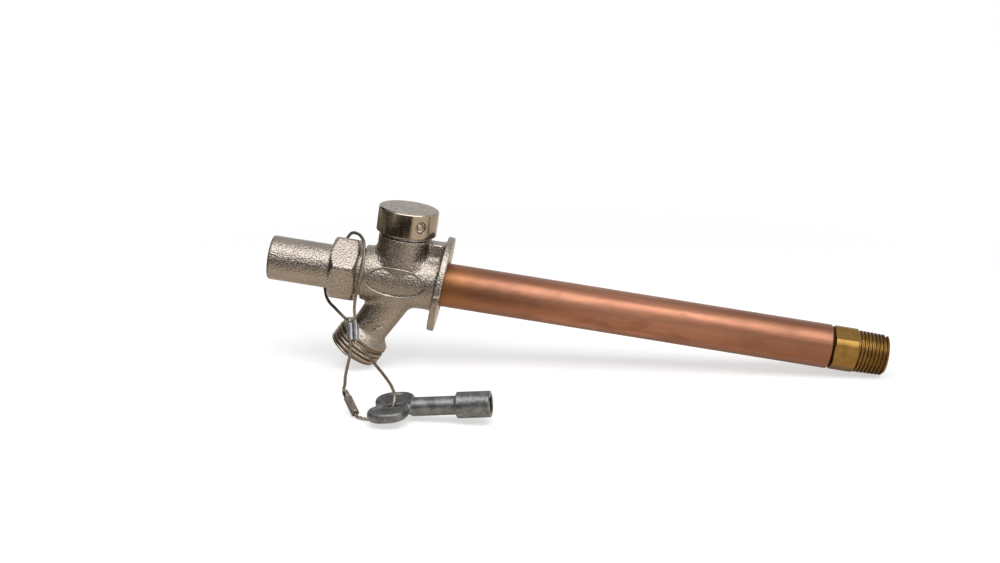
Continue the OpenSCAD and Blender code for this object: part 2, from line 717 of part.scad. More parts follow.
module cap_set_screw() {
    body_from = housing_neck_d / 2 + free_clear;
    body_to = cap_od / 2 - 0.5;
    color("DarkGray") set_screw_frame() union() {
        translate([0, 0, set_groove_r + free_clear]) cylinder(h = cap_wall + 1, d = set_screw_tip_d);
        translate([0, 0, body_from]) cylinder(h = body_to - body_from, d = set_screw_d);
    }
}

module vent_seat() {
    vent_count = 6;
    vent_d = 2.8;
    vent_at = (spring_pocket_r + chamber_d / 2) / 2 - 0.3;
    post_count = 4;
    post_d = 2.4;
    color("Ivory") breaker_frame() union() {
        difference() {
            rotate_extrude() polygon([[0, vent_face_z], [chamber_d / 2 - seat_clear, vent_face_z],
                [chamber_d / 2 - seat_clear, vent_flange_z], [housing_neck_d / 2, vent_flange_z],
                [housing_neck_d / 2, vent_flange_z + vent_flange_t], [0, vent_flange_z + vent_flange_t]]);
            cylinder(h = cap_top_z, d = float_pin_d + 2 * run_clear);
            cylinder(h = spring_top_z, r = spring_pocket_r);
            for (i = [1:vent_count])
                rotate([0, 0, i * 360 / vent_count]) translate([vent_at, 0, 0])
                    cylinder(h = cap_top_z, d = vent_d);
        }
        for (i = [1:post_count])
            rotate([0, 0, 45 + i * 360 / post_count])
                translate([housing_neck_d / 2 - post_d / 2 - 0.2, 0, vent_flange_z + vent_flange_t / 2])
                    cylinder(h = vent_post_h + vent_flange_t / 2, d = post_d);
    }
}

module vent_seat_gasket() {
    color("DarkSlateGray") breaker_frame() difference() {
        translate([0, 0, housing_top]) cylinder(h = vent_gasket_t, d = housing_neck_d);
        cylinder(h = cap_top_z, d = chamber_d);
    }
}

module breaker_float() {
    color("SteelBlue") breaker_frame() union() {
        translate([0, 0, ledge_z]) cylinder(h = float_t, r = chamber_d / 2 - free_clear);
        translate([0, 0, ledge_z]) cylinder(h = float_pin_top_z - ledge_z, d = float_pin_d);
    }
}

module float_seal() {
    color("Black") breaker_frame() difference() {
        translate([0, 0, float_top_z]) cylinder(h = float_seal_t, r = chamber_d / 2 - 1);
        cylinder(h = cap_top_z, r = spring_pocket_r);
    }
}

// Helix of the float's spring, between the float and the pocket in the vent seat
spring_steps = 12;
spring_rise = spring_top_z - float_top_z - float_wire - 0.04;
spring_path = [for (i = [0:float_turns * spring_steps])
    [spring_r * cos(360 * i / spring_steps), spring_r * sin(360 * i / spring_steps),
        float_top_z + float_wire / 2 + 0.02 + spring_rise * i / (float_turns * spring_steps)]];

module float_spring() {
    color("LightGray") breaker_frame() swept_tube(spring_path, float_wire / 2, 6);
}

cable_path = smooth(route, ring_steps);

module tether_cable() {
    color("DarkGray") swept_tube(cable_path, cable_r, cable_sides);
}

module cable_crimp() {
    barrel_wall_r = cable_r + cable_clear + 0.55;
    color("LightGray") translate(crimp_place) rotate(crimp_turn) rotate([0, 0, crimp_spin]) difference() {
        union() {
            for (side = [-1, 1])
                translate([0, side * crimp_half_gap, -crimp_l / 2])
                    cylinder(h = crimp_l, r = barrel_wall_r);
            translate([-barrel_wall_r * 0.8, -crimp_half_gap, -crimp_l / 2])
                cube([barrel_wall_r * 1.6, 2 * crimp_half_gap, crimp_l]);
        }
        for (side = [-1, 1])
            translate([0, side * crimp_half_gap, -crimp_l])
                cylinder(h = 2 * crimp_l, r = cable_r + cable_clear);
    }
}

module connector_barrel() {
    color("DarkGray") translate(connector_place) rotate(connector_turn) difference() {
        rotate_extrude() polygon([[0, ferrule_l], [connector_d / 2 - 0.3, ferrule_l],
            [connector_d / 2, ferrule_l + 0.5],
            [connector_d / 2, connector_l - 0.5], [connector_d / 2 - 0.3, connector_l], [0, connector_l]]);
        translate([0, 0, connector_l - cable_grip - cable_clear])
            cylinder(h = connector_l, r = cable_r + cable_clear);
    }
}

module connector_ferrule() {
    color("Gray") translate(connector_place) rotate(connector_turn) difference() {
        rotate_extrude() polygon([[0, 0], [connector_d / 2 - 0.6, 0], [connector_d / 2 - 0.35, 0.4],
            [connector_d / 2 - 0.35, ferrule_l], [0, ferrule_l]]);
        translate([0, 0, -1]) cylinder(h = cable_grip + cable_clear + 1, r = cable_r + cable_clear);
    }
}

// Outline of the key's bow: two rounded wings, the middle that joins them and the notch between them
module bow_outline(inset) {
    wing_v = bow_w / 2 - wing_r;
    end_r = wing_r - inset;
    difference() {
        union() {
            for (side = [-1, 1]) {
                for (u = [wing_r, bow_l - wing_r]) translate([u, side * wing_v]) circle(r = end_r);
                translate([wing_r, side * wing_v - end_r]) square([bow_l - 2 * wing_r, 2 * end_r]);
            }
            translate([1 + inset, -wing_v]) square([bow_l - 1 - 2 * inset, 2 * wing_v]);
        }
        translate([notch_depth - notch_r, 0]) circle(r = notch_r + inset);
    }
}

module loose_key() {
    socket_r = key_socket_d / 2;
    shaft_r = key_shaft_d / 2;
    throat_u = bow_l - rim_w;
    shoulder = 1.6;
    color("DimGray") translate(key_place) rotate([0, -ground_tilt, 0]) rotate([0, -key_rise, key_yaw])
        translate([-slot_u, 0, 0]) difference() {
            union() {
                translate([0, 0, -bow_rim_t / 2]) linear_extrude(height = bow_rim_t) difference() {
                    bow_outline(0);
                    bow_outline(rim_w);
                }
                translate([0, 0, -bow_web_t / 2]) linear_extrude(height = bow_web_t) bow_outline(rim_w / 2);
                turned_x([[0, throat_u], [bow_rim_t / 2 - 0.3, throat_u], [shaft_r, throat_u + 3.4],
                    [shaft_r, key_socket_u - shoulder], [socket_r, key_socket_u],
                    [socket_r, key_l - chamfer / 2], [socket_r - chamfer / 2, key_l], [0, key_l]]);
            }
            translate([key_l - key_square_depth, -key_square_af / 2, -key_square_af / 2])
                cube([key_square_depth + 1, key_square_af, key_square_af]);
            for (u = [slot_u - slot_l / 2 + slot_w / 2, slot_u + slot_l / 2 - slot_w / 2])
                translate([u, 0, -bow_rim_t]) cylinder(h = 2 * bow_rim_t, d = slot_w);
            translate([slot_u - slot_l / 2 + slot_w / 2, -slot_w / 2, -bow_rim_t])
                cube([slot_l - slot_w, slot_w, 2 * bow_rim_t]);
        }
}

echo(cable_length = length_of(cable_path), cable_rings = len(cable_path));
echo(spring_gap = spring_rise / float_turns - float_wire);

head_casting();
lock_shield_bonnet();
bonnet_gasket();
operating_stem();
stem_o_ring_outer();
stem_o_ring_inner();
packing_washer();
packing_ring();
operating_rod();
stem_rod_pin();
rod_guide();
copper_tube();
inlet_fitting();
seat_washer_holder();
seat_washer();
seat_washer_screw();
vacuum_breaker_cap();
cap_set_screw();
vent_seat();
vent_seat_gasket();
breaker_float();
float_seal();
float_spring();
tether_cable();
cable_crimp();
connector_barrel();
connector_ferrule();
loose_key();
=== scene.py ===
import json
import math

import bpy
import numpy as np
from bpy.props import FloatProperty, FloatVectorProperty, IntProperty, PointerProperty
from mathutils import Matrix, Vector


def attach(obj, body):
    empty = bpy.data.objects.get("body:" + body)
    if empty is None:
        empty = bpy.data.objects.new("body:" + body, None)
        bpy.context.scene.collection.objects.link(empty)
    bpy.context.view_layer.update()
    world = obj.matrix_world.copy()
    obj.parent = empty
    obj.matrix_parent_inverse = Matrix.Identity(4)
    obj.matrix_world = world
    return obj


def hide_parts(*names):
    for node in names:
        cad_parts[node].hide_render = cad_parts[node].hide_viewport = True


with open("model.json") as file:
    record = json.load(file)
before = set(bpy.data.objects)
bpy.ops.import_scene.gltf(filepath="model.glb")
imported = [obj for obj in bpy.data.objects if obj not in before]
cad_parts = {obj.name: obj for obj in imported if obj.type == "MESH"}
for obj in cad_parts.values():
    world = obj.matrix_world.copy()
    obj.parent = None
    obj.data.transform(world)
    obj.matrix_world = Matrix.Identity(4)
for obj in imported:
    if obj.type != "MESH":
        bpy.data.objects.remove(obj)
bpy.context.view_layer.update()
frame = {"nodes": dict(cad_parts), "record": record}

bl_info = {
    "name": "Frost free sillcock",
    "version": (1, 0, 0),
    "blender": (4, 5, 0),
    "location": "View3D > Sidebar > Sillcock",
    "description": "Builds the finished look of a loose-key frost free sillcock round its fixed frame",
    "category": "Add Mesh",
}

X_AXIS = np.array((1.0, 0.0, 0.0))
Z_AXIS = np.array((0.0, 0.0, 1.0))
WHITE = (1.0, 1.0, 1.0)


def length(name, note, value):
    """A size in metres."""
    return FloatProperty(name=name, description=note, default=value, unit="LENGTH", subtype="DISTANCE")


def turn(name, note, degrees):
    """An angle."""
    return FloatProperty(name=name, description=note, default=math.radians(degrees), unit="ROTATION",
                         subtype="ANGLE")


def place(name, note, value):
    """A point in metres."""
    return FloatVectorProperty(name=name, description=note, default=value, unit="LENGTH", subtype="XYZ")


def colour(name, note, value):
    """A linear colour."""
    return FloatVectorProperty(name=name, description=note, default=value, min=0.0, max=1.0, subtype="COLOR")


def amount(name, note, value):
    """A plain number."""
    return FloatProperty(name=name, description=note, default=value, subtype="NONE")


class SillcockHeadSizes(bpy.types.PropertyGroup):
    """Sizes of the head casting, its spout and its breaker cap."""

    head_l: length("Head length", "Barrel from the wall face to its front end", 0.0413)
    barrel_d: length("Barrel diameter", "Outside of the cast barrel", 0.028)
    flange_d: length("Flange diameter", "Outside of the wall flange", 0.0485)
    flange_t: length("Flange thickness", "Thickness of the wall flange", 0.0033)
    flange_pitch: turn("Flange pitch", "Lean of the flange, which lets the tube drain", 5.0)
    screw_pcd: length("Screw circle", "Distance between the two wall screws", 0.044)
    screw_hole_d: length("Screw hole", "Bore of a wall screw hole", 0.0055)
    rib_half_w: length("Rib half width", "Half of the width of the rib behind the housing", 0.0045)
    rib_top: length("Rib height", "Top of the rib above the axis", 0.021)
    oval_w: length("Oval width", "Width of the raised oval on the near side", 0.030)
    oval_h: length("Oval height", "Height of the raised oval", 0.0145)
    oval_z: length("Oval rise", "Distance of the oval's middle above the axis", 0.0006)
    oval_x: length("Oval place", "Distance of the oval's centre from the wall face", 0.0238)
    oval_rim: length("Oval rim", "Width of the oval's raised line", 0.0011)
    oval_raise: length("Oval raise", "Height of the oval's raised line", 0.0011)
    mark_rim: length("Mould mark", "Width of the raised mould mark on the spout", 0.0011)
    mark_raise: length("Mould mark raise", "Height of the mould mark", 0.0011)
    mark_from: place("Mould mark start", "Start of the mark, seen from the side", (-0.0323, 0.0, -0.0267))
    mark_to: place("Mould mark end", "End of the mark, seen from the side", (-0.0267, 0.0, -0.0241))
    socket_d: length("Tube socket", "Bore that takes the copper tube", 0.02226)
    socket_l: length("Tube socket depth", "Depth of that bore", 0.012)
    water_d: length("Water bore", "Bore of the barrel", 0.0186)
    water_l: length("Water bore start", "Distance of its closed end from the wall face", 0.0242)
    gland_d: length("Gland bore", "Bore that takes the stem", 0.0104)
    front_d: length("Front socket", "Bore that takes the bonnet", 0.022)
    front_l: length("Front socket depth", "Distance of its inner end from the wall face", 0.0327)
    spout_x: length("Spout place", "Distance of the spout's root from the wall face", 0.0193)
    spout_angle: turn("Spout slope", "Slope of the spout below the axis", 62.0)
    spout_l: length("Spout length", "Spout along its own axis", 0.0477)
    spout_root_d: length("Spout root", "Diameter of the spout at its root", 0.0212)
    spout_neck_d: length("Spout neck", "Diameter of the spout above its collar", 0.0186)
    flare_l: length("Flare", "Start of the flare along the spout", 0.03326)
    collar_l: length("Collar", "Start of the collar along the spout", 0.03666)
    collar_d: length("Collar diameter", "Diameter of the collar above the thread", 0.0262)
    hose_top: length("Thread start", "Start of the hose thread along the spout", 0.03826)
    hose_d: length("Hose thread", "Diameter over the crests of the hose thread", 0.0268)
    hose_depth: length("Hose thread depth", "Depth of the hose thread", 0.0012)
    hose_pitch: length("Hose thread pitch", "Pitch of the hose thread", 0.00221)
    spout_bore: length("Spout bore", "Water way of the spout", 0.0146)
    mouth_d: length("Spout mouth", "Bore of the spout's mouth", 0.0196)
    mouth_l: length("Mouth depth", "Depth of the spout's mouth", 0.0085)
    breaker_x: length("Breaker place", "Distance of the breaker's axis from the wall face", 0.0226)
    housing_d: length("Housing", "Diameter of the breaker housing", 0.0268)
    housing_z: length("Housing shoulder", "Height of the housing's shoulder", 0.0222)
    neck_d: length("Housing neck", "Diameter of the housing inside the cap", 0.0244)
    neck_z: length("Housing top", "Height of the housing's top", 0.0324)
    chamber_d: length("Chamber", "Bore of the breaker's chamber", 0.0184)
    ledge_z: length("Ledge", "Height of the float's ledge", 0.014)
    port_d: length("Port", "Bore below the float", 0.010)
    cap_d: length("Cap diameter", "Outside of the cap", 0.0302)
    cap_z0: length("Cap skirt", "Height of the cap's lower edge", 0.0240)
    cap_z1: length("Cap top", "Height of the cap's top", 0.0366)
    cap_wall: length("Cap wall", "Thickness of the cap's wall", 0.00135)
    cap_bevel: length("Cap bevel", "Height of the bevel round the cap's top", 0.0007)
    cap_top_t: length("Cap top thickness", "Thickness of the cap's top", 0.002)
    relief_d: length("Relief", "Diameter of the relief round the tube in the wall face", 0.0252)
    relief_l: length("Relief depth", "Depth of that relief", 0.0008)
    screw_d: length("Set screw", "Diameter of the cap's set screw", 0.0056)
    screw_z: length("Set screw height", "Height of the set screw's axis", 0.0303)
    screw_angle: turn("Set screw angle", "Turn of the set screw from the near side", 32.5)
    grid: length("Casting grid", "Spacing of the casting's surface points", 0.0005)


class SillcockLineSizes(bpy.types.PropertyGroup):
    """Sizes of the lock shield, the tube and the inlet."""

    shield_x0: length("Shield end", "Place of the shield's mouth", -0.0890)
    shield_d: length("Shield diameter", "Outside of the lock shield", 0.0224)
    shield_bore: length("Shield bore", "Bore that the key goes into", 0.0156)
    shield_floor: length("Shield floor", "Inner end of that bore", -0.0622)
    hex_x0: length("Hexagon start", "Outer face of the hexagon", -0.0574)
    hex_x1: length("Hexagon end", "Inner face of the hexagon", -0.0439)
    hex_bevel0: length("Outer bevel", "Bevel of the hexagon's corners at the shield", 0.0026)
    hex_bevel1: length("Inner bevel", "Bevel of the hexagon's corners at the neck", 0.0015)
    hex_af: length("Hexagon width", "Hexagon across its flats", 0.0307)
    hex_turn: turn("Hexagon turn", "Turn of the hexagon about the axis", 16.0)
    bonnet_neck_d: length("Bonnet neck", "Diameter behind the hexagon", 0.0238)
    bonnet_face: length("Bonnet face", "Place of the face on the gasket", -0.0421)
    spigot_x1: length("Spigot end", "Inner end of the bonnet's spigot", -0.0327)
    spigot_d: length("Spigot", "Diameter over the spigot's thread", 0.0218)
    nut_bore: length("Nut bore", "Bore of the operating thread", 0.0126)
    nut_x1: length("Nut end", "Inner end of the operating thread", -0.0459)
    land_bore: length("Land bore", "Bore round the stem's sealing land", 0.0103)
    tube_d: length("Tube", "Outside of the copper tube", 0.0222)
    tube_wall: length("Tube wall", "Wall of the copper tube", 0.00114)
    tube_x0: length("Tube start", "Tube end in the casting", -0.0118)
    tube_x1: length("Tube end", "Tube end at the inlet", 0.1955)
    inlet_x0: length("Inlet start", "End of the inlet's spigot in the tube", 0.1837)
    inlet_hex_x0: length("Inlet hexagon start", "Tube side of the inlet's hexagon", 0.1967)
    inlet_hex_x1: length("Inlet hexagon end", "Thread side of the inlet's hexagon", 0.2089)
    inlet_x1: length("Inlet end", "End of the inlet's thread", 0.2241)
    inlet_af: length("Inlet hexagon width", "Inlet hexagon across its flats", 0.0206)
    inlet_turn: turn("Inlet hexagon turn", "Turn of the inlet's hexagon about the axis", -28.0)
    pipe_d0: length("Pipe thread root end", "Diameter over the thread at the hexagon", 0.0213)
    pipe_d1: length("Pipe thread end", "Diameter over the thread at its end", 0.0204)
    pipe_pitch: length("Pipe thread pitch", "Pitch of the pipe thread", 0.001814)
    pipe_depth: length("Pipe thread depth", "Depth of the pipe thread", 0.001)
    inlet_bore: length("Inlet bore", "Solder socket of the inlet", 0.01596)
    inlet_bore_l: length("Inlet bore depth", "Depth of the solder socket", 0.0127)
    seat_bore: length("Seat bore", "Bore of the valve seat", 0.010)
    seat_x: length("Seat place", "Place of the valve seat", 0.2005)
    fitting_bore: length("Fitting bore", "Bore round the valve disc", 0.0168)


class SillcockTetherSizes(bpy.types.PropertyGroup):
    """Sizes and places of the wire rope, its fittings and the key."""

    cable_d: length("Cable", "Diameter of the wire rope", 0.0016)
    cable_l: length("Cable length", "Length of the wire rope", 0.2961)
    strands: IntProperty(name="Strands", description="Strands round the wire rope", default=4)
    lay_l: length("Lay", "Length of one turn of the strands", 0.0066)
    crimp_at: place("Crimp place", "Middle of the crimp sleeve", (-0.0405, -0.0208, -0.0253))
    crimp_tilt: turn("Crimp tilt", "Tilt of the sleeve's axis", 156.2)
    crimp_head: turn("Crimp heading", "Heading of the sleeve's axis", -60.3)
    crimp_spin: turn("Crimp spin", "Turn of the sleeve about its axis", 32.0)
    crimp_l: length("Crimp length", "Length of the sleeve", 0.0082)
    crimp_half: length("Crimp half gap", "Half of the distance between the two cables", 0.00135)
    crimp_wall: length("Crimp wall", "Wall of the sleeve", 0.00055)
    cable_clear: length("Cable clearance", "Free space round the cable in its fittings", 0.00025)
    joint_at: place("Connector place", "Ferrule end of the connector", (-0.035, -0.064, -0.0413))
    joint_tilt: turn("Connector tilt", "Tilt of the connector's axis", 107.6)
    joint_head: turn("Connector heading", "Heading of the connector's axis", -59.4)
    joint_l: length("Connector length", "Length of barrel and ferrule", 0.0159)
    joint_d: length("Connector diameter", "Diameter of the barrel", 0.004)
    ferrule_l: length("Ferrule", "Length of the ferrule", 0.004)
    ferrule_dent: length("Ferrule dents", "Depth of the dents round the ferrule", 0.00009)
    grip_l: length("Cable grip", "Depth of the cable in the connector", 0.0025)
    knurl_depth: length("Knurl depth", "Depth of the barrel's knurl", 0.00022)
    knurl_ridges: amount("Knurl ridges", "Ridges of the knurl round half of the barrel", 14.0)
    knurl_lead: amount("Knurl lead", "Turn of the knurl along the barrel, for each metre", 900.0)
    key_at: place("Key place", "Middle of the slot in the key's bow", (-0.0095, -0.0769, -0.0399))
    key_tilt: turn("Ground tilt", "Slope of the ground that the key lies on", 8.5)
    key_rise: turn("Key rise", "Slope of the key against the ground", 5.2)
    key_yaw: turn("Key yaw", "Heading of the key", -5.0)
    key_l: length("Key length", "Whole length of the key", 0.0563)
    slot_u: length("Slot place", "Middle of the slot from the bow's end", 0.0111)
    slot_l: length("Slot length", "Length of the slot", 0.007)
    slot_w: length("Slot width", "Width of the slot", 0.0036)
    bow_l: length("Bow length", "Length of the bow", 0.0188)
    bow_w: length("Bow width", "Width of the bow", 0.0334)
    wing_r: length("Wing radius", "Rounding of the bow's wings", 0.0082)
    notch_r: length("Notch radius", "Rounding of the notch in the bow", 0.004)
    notch_l: length("Notch depth", "Depth of the notch", 0.0035)
    rim_t: length("Rim height", "Thickness of the bow's rim", 0.0044)
    rim_w: length("Rim width", "Width of the bow's rim", 0.0026)
    web_t: length("Web thickness", "Thickness of the bow's web", 0.0022)
    shaft_d: length("Key shaft", "Diameter of the key's shaft", 0.0088)
    socket_d: length("Key socket", "Diameter of the key's socket", 0.0122)
    socket_l: length("Key socket length", "Length of the key's socket", 0.0149)
    square: length("Key square", "Square hole across its flats", 0.0074)
    square_l: length("Key square depth", "Depth of the square hole", 0.013)
    grid: length("Key grid", "Spacing of the key's surface points", 0.00032)


class SillcockLooks(bpy.types.PropertyGroup):
    """Colours of the finishes."""

    nickel: colour("Cast nickel", "Nickel plate on the sand castings", (0.315, 0.280, 0.247))
    polished: colour("Bright nickel", "Nickel plate on the turned cap", (0.35, 0.305, 0.252))
    copper: colour("Copper", "Drawn copper", (0.312, 0.138, 0.082))
    brass: colour("Brass", "Turned brass", (0.270, 0.159, 0.046))
    zinc: colour("Zinc", "Die-cast zinc", (0.160, 0.167, 0.170))
    steel: colour("Steel", "Stainless steel", (0.195, 0.175, 0.152))
    aluminium: colour("Aluminium", "Pressed aluminium", (0.36, 0.368, 0.382))
    rubber: colour("Rubber", "Black rubber", (0.03, 0.03, 0.03))
    packing: colour("Packing", "Graphited packing", (0.09, 0.09, 0.09))
    fibre: colour("Fibre", "Hard fibre", (0.22, 0.11, 0.07))
    plastic: colour("Acetal", "Moulded acetal", (0.72, 0.72, 0.67))
    # root darkness of the threads: grime together with painted shade
    brass_root_grime_shade: amount("Pipe thread root grime and shade", "Darkness of the roots of the pipe thread", 0.70)
    nickel_root_grime_shade: amount("Hose thread root grime and shade", "Darkness of the roots of the hose thread", 0.42)


class SillcockStage(bpy.types.PropertyGroup):
    """Camera, floor and lamps."""

    camera_at: place("Camera place", "Place of the camera", (0.0470, -0.7036, 0.2018))
    camera_yaw: turn("Camera yaw", "Heading of the camera towards the key end", 1.58)
    camera_pitch: turn("Camera pitch", "Downward tilt of the camera", 15.527)
    camera_roll: turn("Camera roll", "Roll of the camera", 8.686)
    camera_lens: amount("Camera lens", "Focal length in millimetres on a 36 mm sensor", 52.2)
    floor_tilt: turn("Floor tilt", "Slope of the floor under the spout and the inlet", 8.5)
    floor_drop: length("Floor drop", "Distance of the floor below the origin", 0.0437)
    floor_r: length("Floor radius", "Radius of the round floor", 4.0)
    card_r0: length("Card start", "Inner radius of the cards on the floor", 0.17)
    card_r1: length("Card end", "Outer radius of the cards on the floor", 0.75)
    card_dark: colour("Dark card", "Cloth of the dark reflector cards", (0.028, 0.024, 0.019))
    card_brown: colour("Brown card", "Cloth of the brown reflector card", (0.27, 0.22, 0.165))
    floor_warm: colour("Floor in metal", "Tint of the floor where metal mirrors it", (0.93, 0.815, 0.68))
    room: colour("Room in metal", "Colour of the room where metal mirrors it", (0.78, 0.765, 0.75))
    floor_glow: amount("Floor glow", "Light that the floor gives by itself", 0.57)
    key_power: FloatProperty(name="Softbox", description="Power of the overhead softbox", default=4.5,
                             unit="POWER")
    fill_power: FloatProperty(name="Fill", description="Power of each side lamp", default=0.7, unit="POWER")
    ambient: amount("Ambient", "Level of the sky light", 0.34)


HEAD = "sillcock_head"
LINE = "sillcock_line"
TETHER = "sillcock_tether"
LOOKS = "sillcock_looks"
STAGE = "sillcock_stage"


def bar(p, start, axis, long, radius, edge=0.0):
    """Distance from points to a round bar with rounded edges."""
    away = p - np.asarray(start)
    along = away @ axis
    across = np.sqrt(np.maximum((away * away).sum(1) - along * along, 0.0))
    a = np.maximum(edge - along, along - long + edge)
    b = across - radius + edge
    return np.minimum(np.maximum(a, b), 0.0) + np.hypot(np.maximum(a, 0.0), np.maximum(b, 0.0)) - edge


def block(p, middle, half, edge=0.0):
    """Distance from points to a box with rounded edges."""
    q = np.abs(p - np.asarray(middle)) - (np.asarray(half) - edge)
    outside = np.sqrt((np.maximum(q, 0.0) ** 2).sum(1))
    return outside + np.minimum(q.max(1), 0.0) - edge


def join(a, b, k):
    """Union of two distances with a fillet of about the size k."""
    k = np.maximum(k, 1e-6)
    h = np.clip(0.5 + 0.5 * (b - a) / k, 0.0, 1.0)
    return b + (a - b) * h - k * h * (1.0 - h)


def cut(a, b, k):
    """What is left of a outside b, with its edge rounded by about k."""
    return -join(-a, b, k)


def ramp(value, low, high):
    """Smooth step from 0 at low to 1 at high."""
    t = np.clip((value - low) / (high - low), 0.0, 1.0)
    return t * t * (3.0 - 2.0 * t)


def surface_net(distance, low, high, step):
    """Points and quads on the zero level of a distance function."""
    low = np.asarray(low)
    count = np.ceil((np.asarray(high) - low) / step).astype(int) + 1
    axes = [low[i] + step * np.arange(count[i]) for i in range(3)]
    field = np.empty(count)
    for i, x in enumerate(axes[0]):
        y, z = np.meshgrid(axes[1], axes[2], indexing="ij")
        field[i] = distance(np.column_stack((np.full(y.size, x), y.ravel(), z.ravel()))).reshape(y.shape)
    inside = field < 0.0
    corners = [(i, j, k) for i in (0, 1) for j in (0, 1) for k in (0, 1)]

    def corner(grid, c):
        return grid[tuple(slice(o, n - 1 + o) for o, n in zip(c, count))]

    filled = sum(corner(inside, c).astype(np.int8) for c in corners)
    crossed = (filled > 0) & (filled < 8)
    index = np.full(crossed.shape, -1)
    index[crossed] = np.arange(crossed.sum())
    cells = np.argwhere(crossed)
    value = {c: corner(field, c)[crossed] for c in corners}
    total = np.zeros((len(cells), 3))
    hits = np.zeros(len(cells))
    for a in corners:
        for axis in range(3):
            if a[axis]:
                continue
            b = tuple(1 if i == axis else a[i] for i in range(3))
            swap = (value[a] < 0.0) != (value[b] < 0.0)
            t = value[a][swap] / (value[a][swap] - value[b][swap])
            total[swap] += np.asarray(a, float) + t[:, None] * (np.asarray(b, float) - np.asarray(a, float))
            hits[swap] += 1.0
    points = low + step * (cells + total / hits[:, None])
    quads = []
    for axis in range(3):
        u, v = (axis + 1) % 3, (axis + 2) % 3
        near = [slice(1, -1)] * 3
        near[axis] = slice(0, -1)
        far = list(near)
        far[axis] = slice(1, None)
        a, b = inside[tuple(near)], inside[tuple(far)]
        base = np.argwhere(a != b)
        outward = a[a != b]
        base[:, u] += 1
        base[:, v] += 1
        eu, ev = np.eye(3, dtype=int)[u], np.eye(3, dtype=int)[v]
        quad = np.column_stack([index[tuple((base - o).T)] for o in (0 * eu, eu, eu + ev, ev)])
        quad[~outward] = quad[~outward][:, ::-1]
        quads.append(quad)
    for _ in range(2):
        here = distance(points)
        small = step * 0.05
        slope = np.column_stack([distance(points + small * e) - here for e in np.eye(3)]) / small
        size = np.maximum((slope * slope).sum(1), 0.2)
        points -= np.clip(here / size, -0.5 * step, 0.5 * step)[:, None] * slope
    return points, np.concatenate(quads)


def rounded(points, radius, steps=4):
    """Profile with its corners rounded; each point is (along, radius) or (along, radius, own rounding)."""
    flat = [np.array(p[:2], float) for p in points]
    out = []
    for i, p in enumerate(flat):
        r = points[i][2] if len(points[i]) > 2 else radius
        before, after = flat[i - 1], flat[(i + 1) % len(flat)]
        a, b = before - p, after - p
        la, lb = np.linalg.norm(a), np.linalg.norm(b)
        if r <= 0.0 or la < 1e-9 or lb < 1e-9:
            out.append(p)
            continue
        a, b = a / la, b / lb
        bend = math.acos(max(-1.0, min(1.0, float(a @ b))))
        if bend > math.pi - 0.05:
            out.append(p)
            continue
        reach = min(r / math.tan(bend / 2.0), 0.45 * la, 0.45 * lb)
        for k in range(steps + 1):
            t = k / steps
            out.append(p + (1 - t) ** 2 * reach * a + t ** 2 * reach * b)
    return out


def spread(profile, most, closed=True):
    """Profile with long steps divided, so that no step is longer than most."""
    out = []
    for p, q in zip(profile, profile[1:] + profile[:1] if closed else profile[1:]):
        n = max(1, int(math.ceil(np.linalg.norm(q - p) / most)))
        out += [p + (q - p) * k / n for k in range(n)]
    return out if closed else out + [profile[-1]]


def wrap_faces(rings, around, closed=False):
    """Quads between rings of points; closed also joins the last ring to the first."""
    i, j = np.meshgrid(np.arange(rings if closed else rings - 1), np.arange(around), indexing="ij")
    i2, j2 = (i + 1) % rings, (j + 1) % around
    quads = np.stack((i * around + j, i2 * around + j, i2 * around + j2, i * around + j2), -1)
    return quads.reshape(-1, 4)


def turned_points(profile, segments, shape):
    """Rings of points of a profile turned about the X axis; shape gives the radius at an angle."""
    angle = np.arange(segments) * 2.0 * math.pi / segments
    along = np.repeat(profile[:, 0][:, None], segments, 1)
    radius = np.repeat(profile[:, 1][:, None], segments, 1)
    if shape:
        radius = shape(angle[None, :], along, radius)
    return np.stack((along, radius * np.cos(angle), radius * np.sin(angle)), -1).reshape(-1, 3)


def turned_ring(profile, segments, shape=None):
    """Closed profile of (along, radius) turned about the X axis."""
    profile = np.array(profile)
    along, radius = profile.T
    area = 0.5 * np.sum(along * np.roll(radius, -1) - np.roll(along, -1) * radius)
    if area > 0.0:
        profile = profile[::-1]
    return turned_points(profile, segments, shape), wrap_faces(len(profile), segments, True)


def turned_solid(profile, segments, shape=None):
    """Profile from pole to pole, (along, radius) with radius 0 at both ends, turned about the X axis."""
    profile = np.array(profile)
    inner = profile[1:-1]
    poles = [[profile[0, 0], 0.0, 0.0], [profile[-1, 0], 0.0, 0.0]]
    points = np.concatenate((turned_points(inner, segments, shape), poles))
    first, last = len(points) - 2, len(points) - 1
    end = (len(inner) - 1) * segments
    faces = wrap_faces(len(inner), segments)[:, ::-1].tolist()
    for j in range(segments):
        k = (j + 1) % segments
        faces += [(first, k, j), (last, end + j, end + k)]
    return points, faces


def hexagon(af, turned):
    """Radius of a hexagon at an angle."""
    def radius(angle):
        local = (angle + turned) % (math.pi / 3.0) - math.pi / 6.0
        return af / 2.0 / np.cos(local)
    return radius


def frame_matrix(at, *turns):
    """Matrix of a place and of turns, each (angle, axis), the outermost first."""
    m = Matrix.Translation(Vector(at))
    for angle, axis in turns:
        m = m @ Matrix.Rotation(angle, 4, axis)
    return m


def aim_matrix(at, axis):
    """Matrix that brings the X axis to a place and a direction."""
    return Matrix.Translation(Vector(at)) @ Vector(axis).to_track_quat("X", "Z").to_matrix().to_4x4()


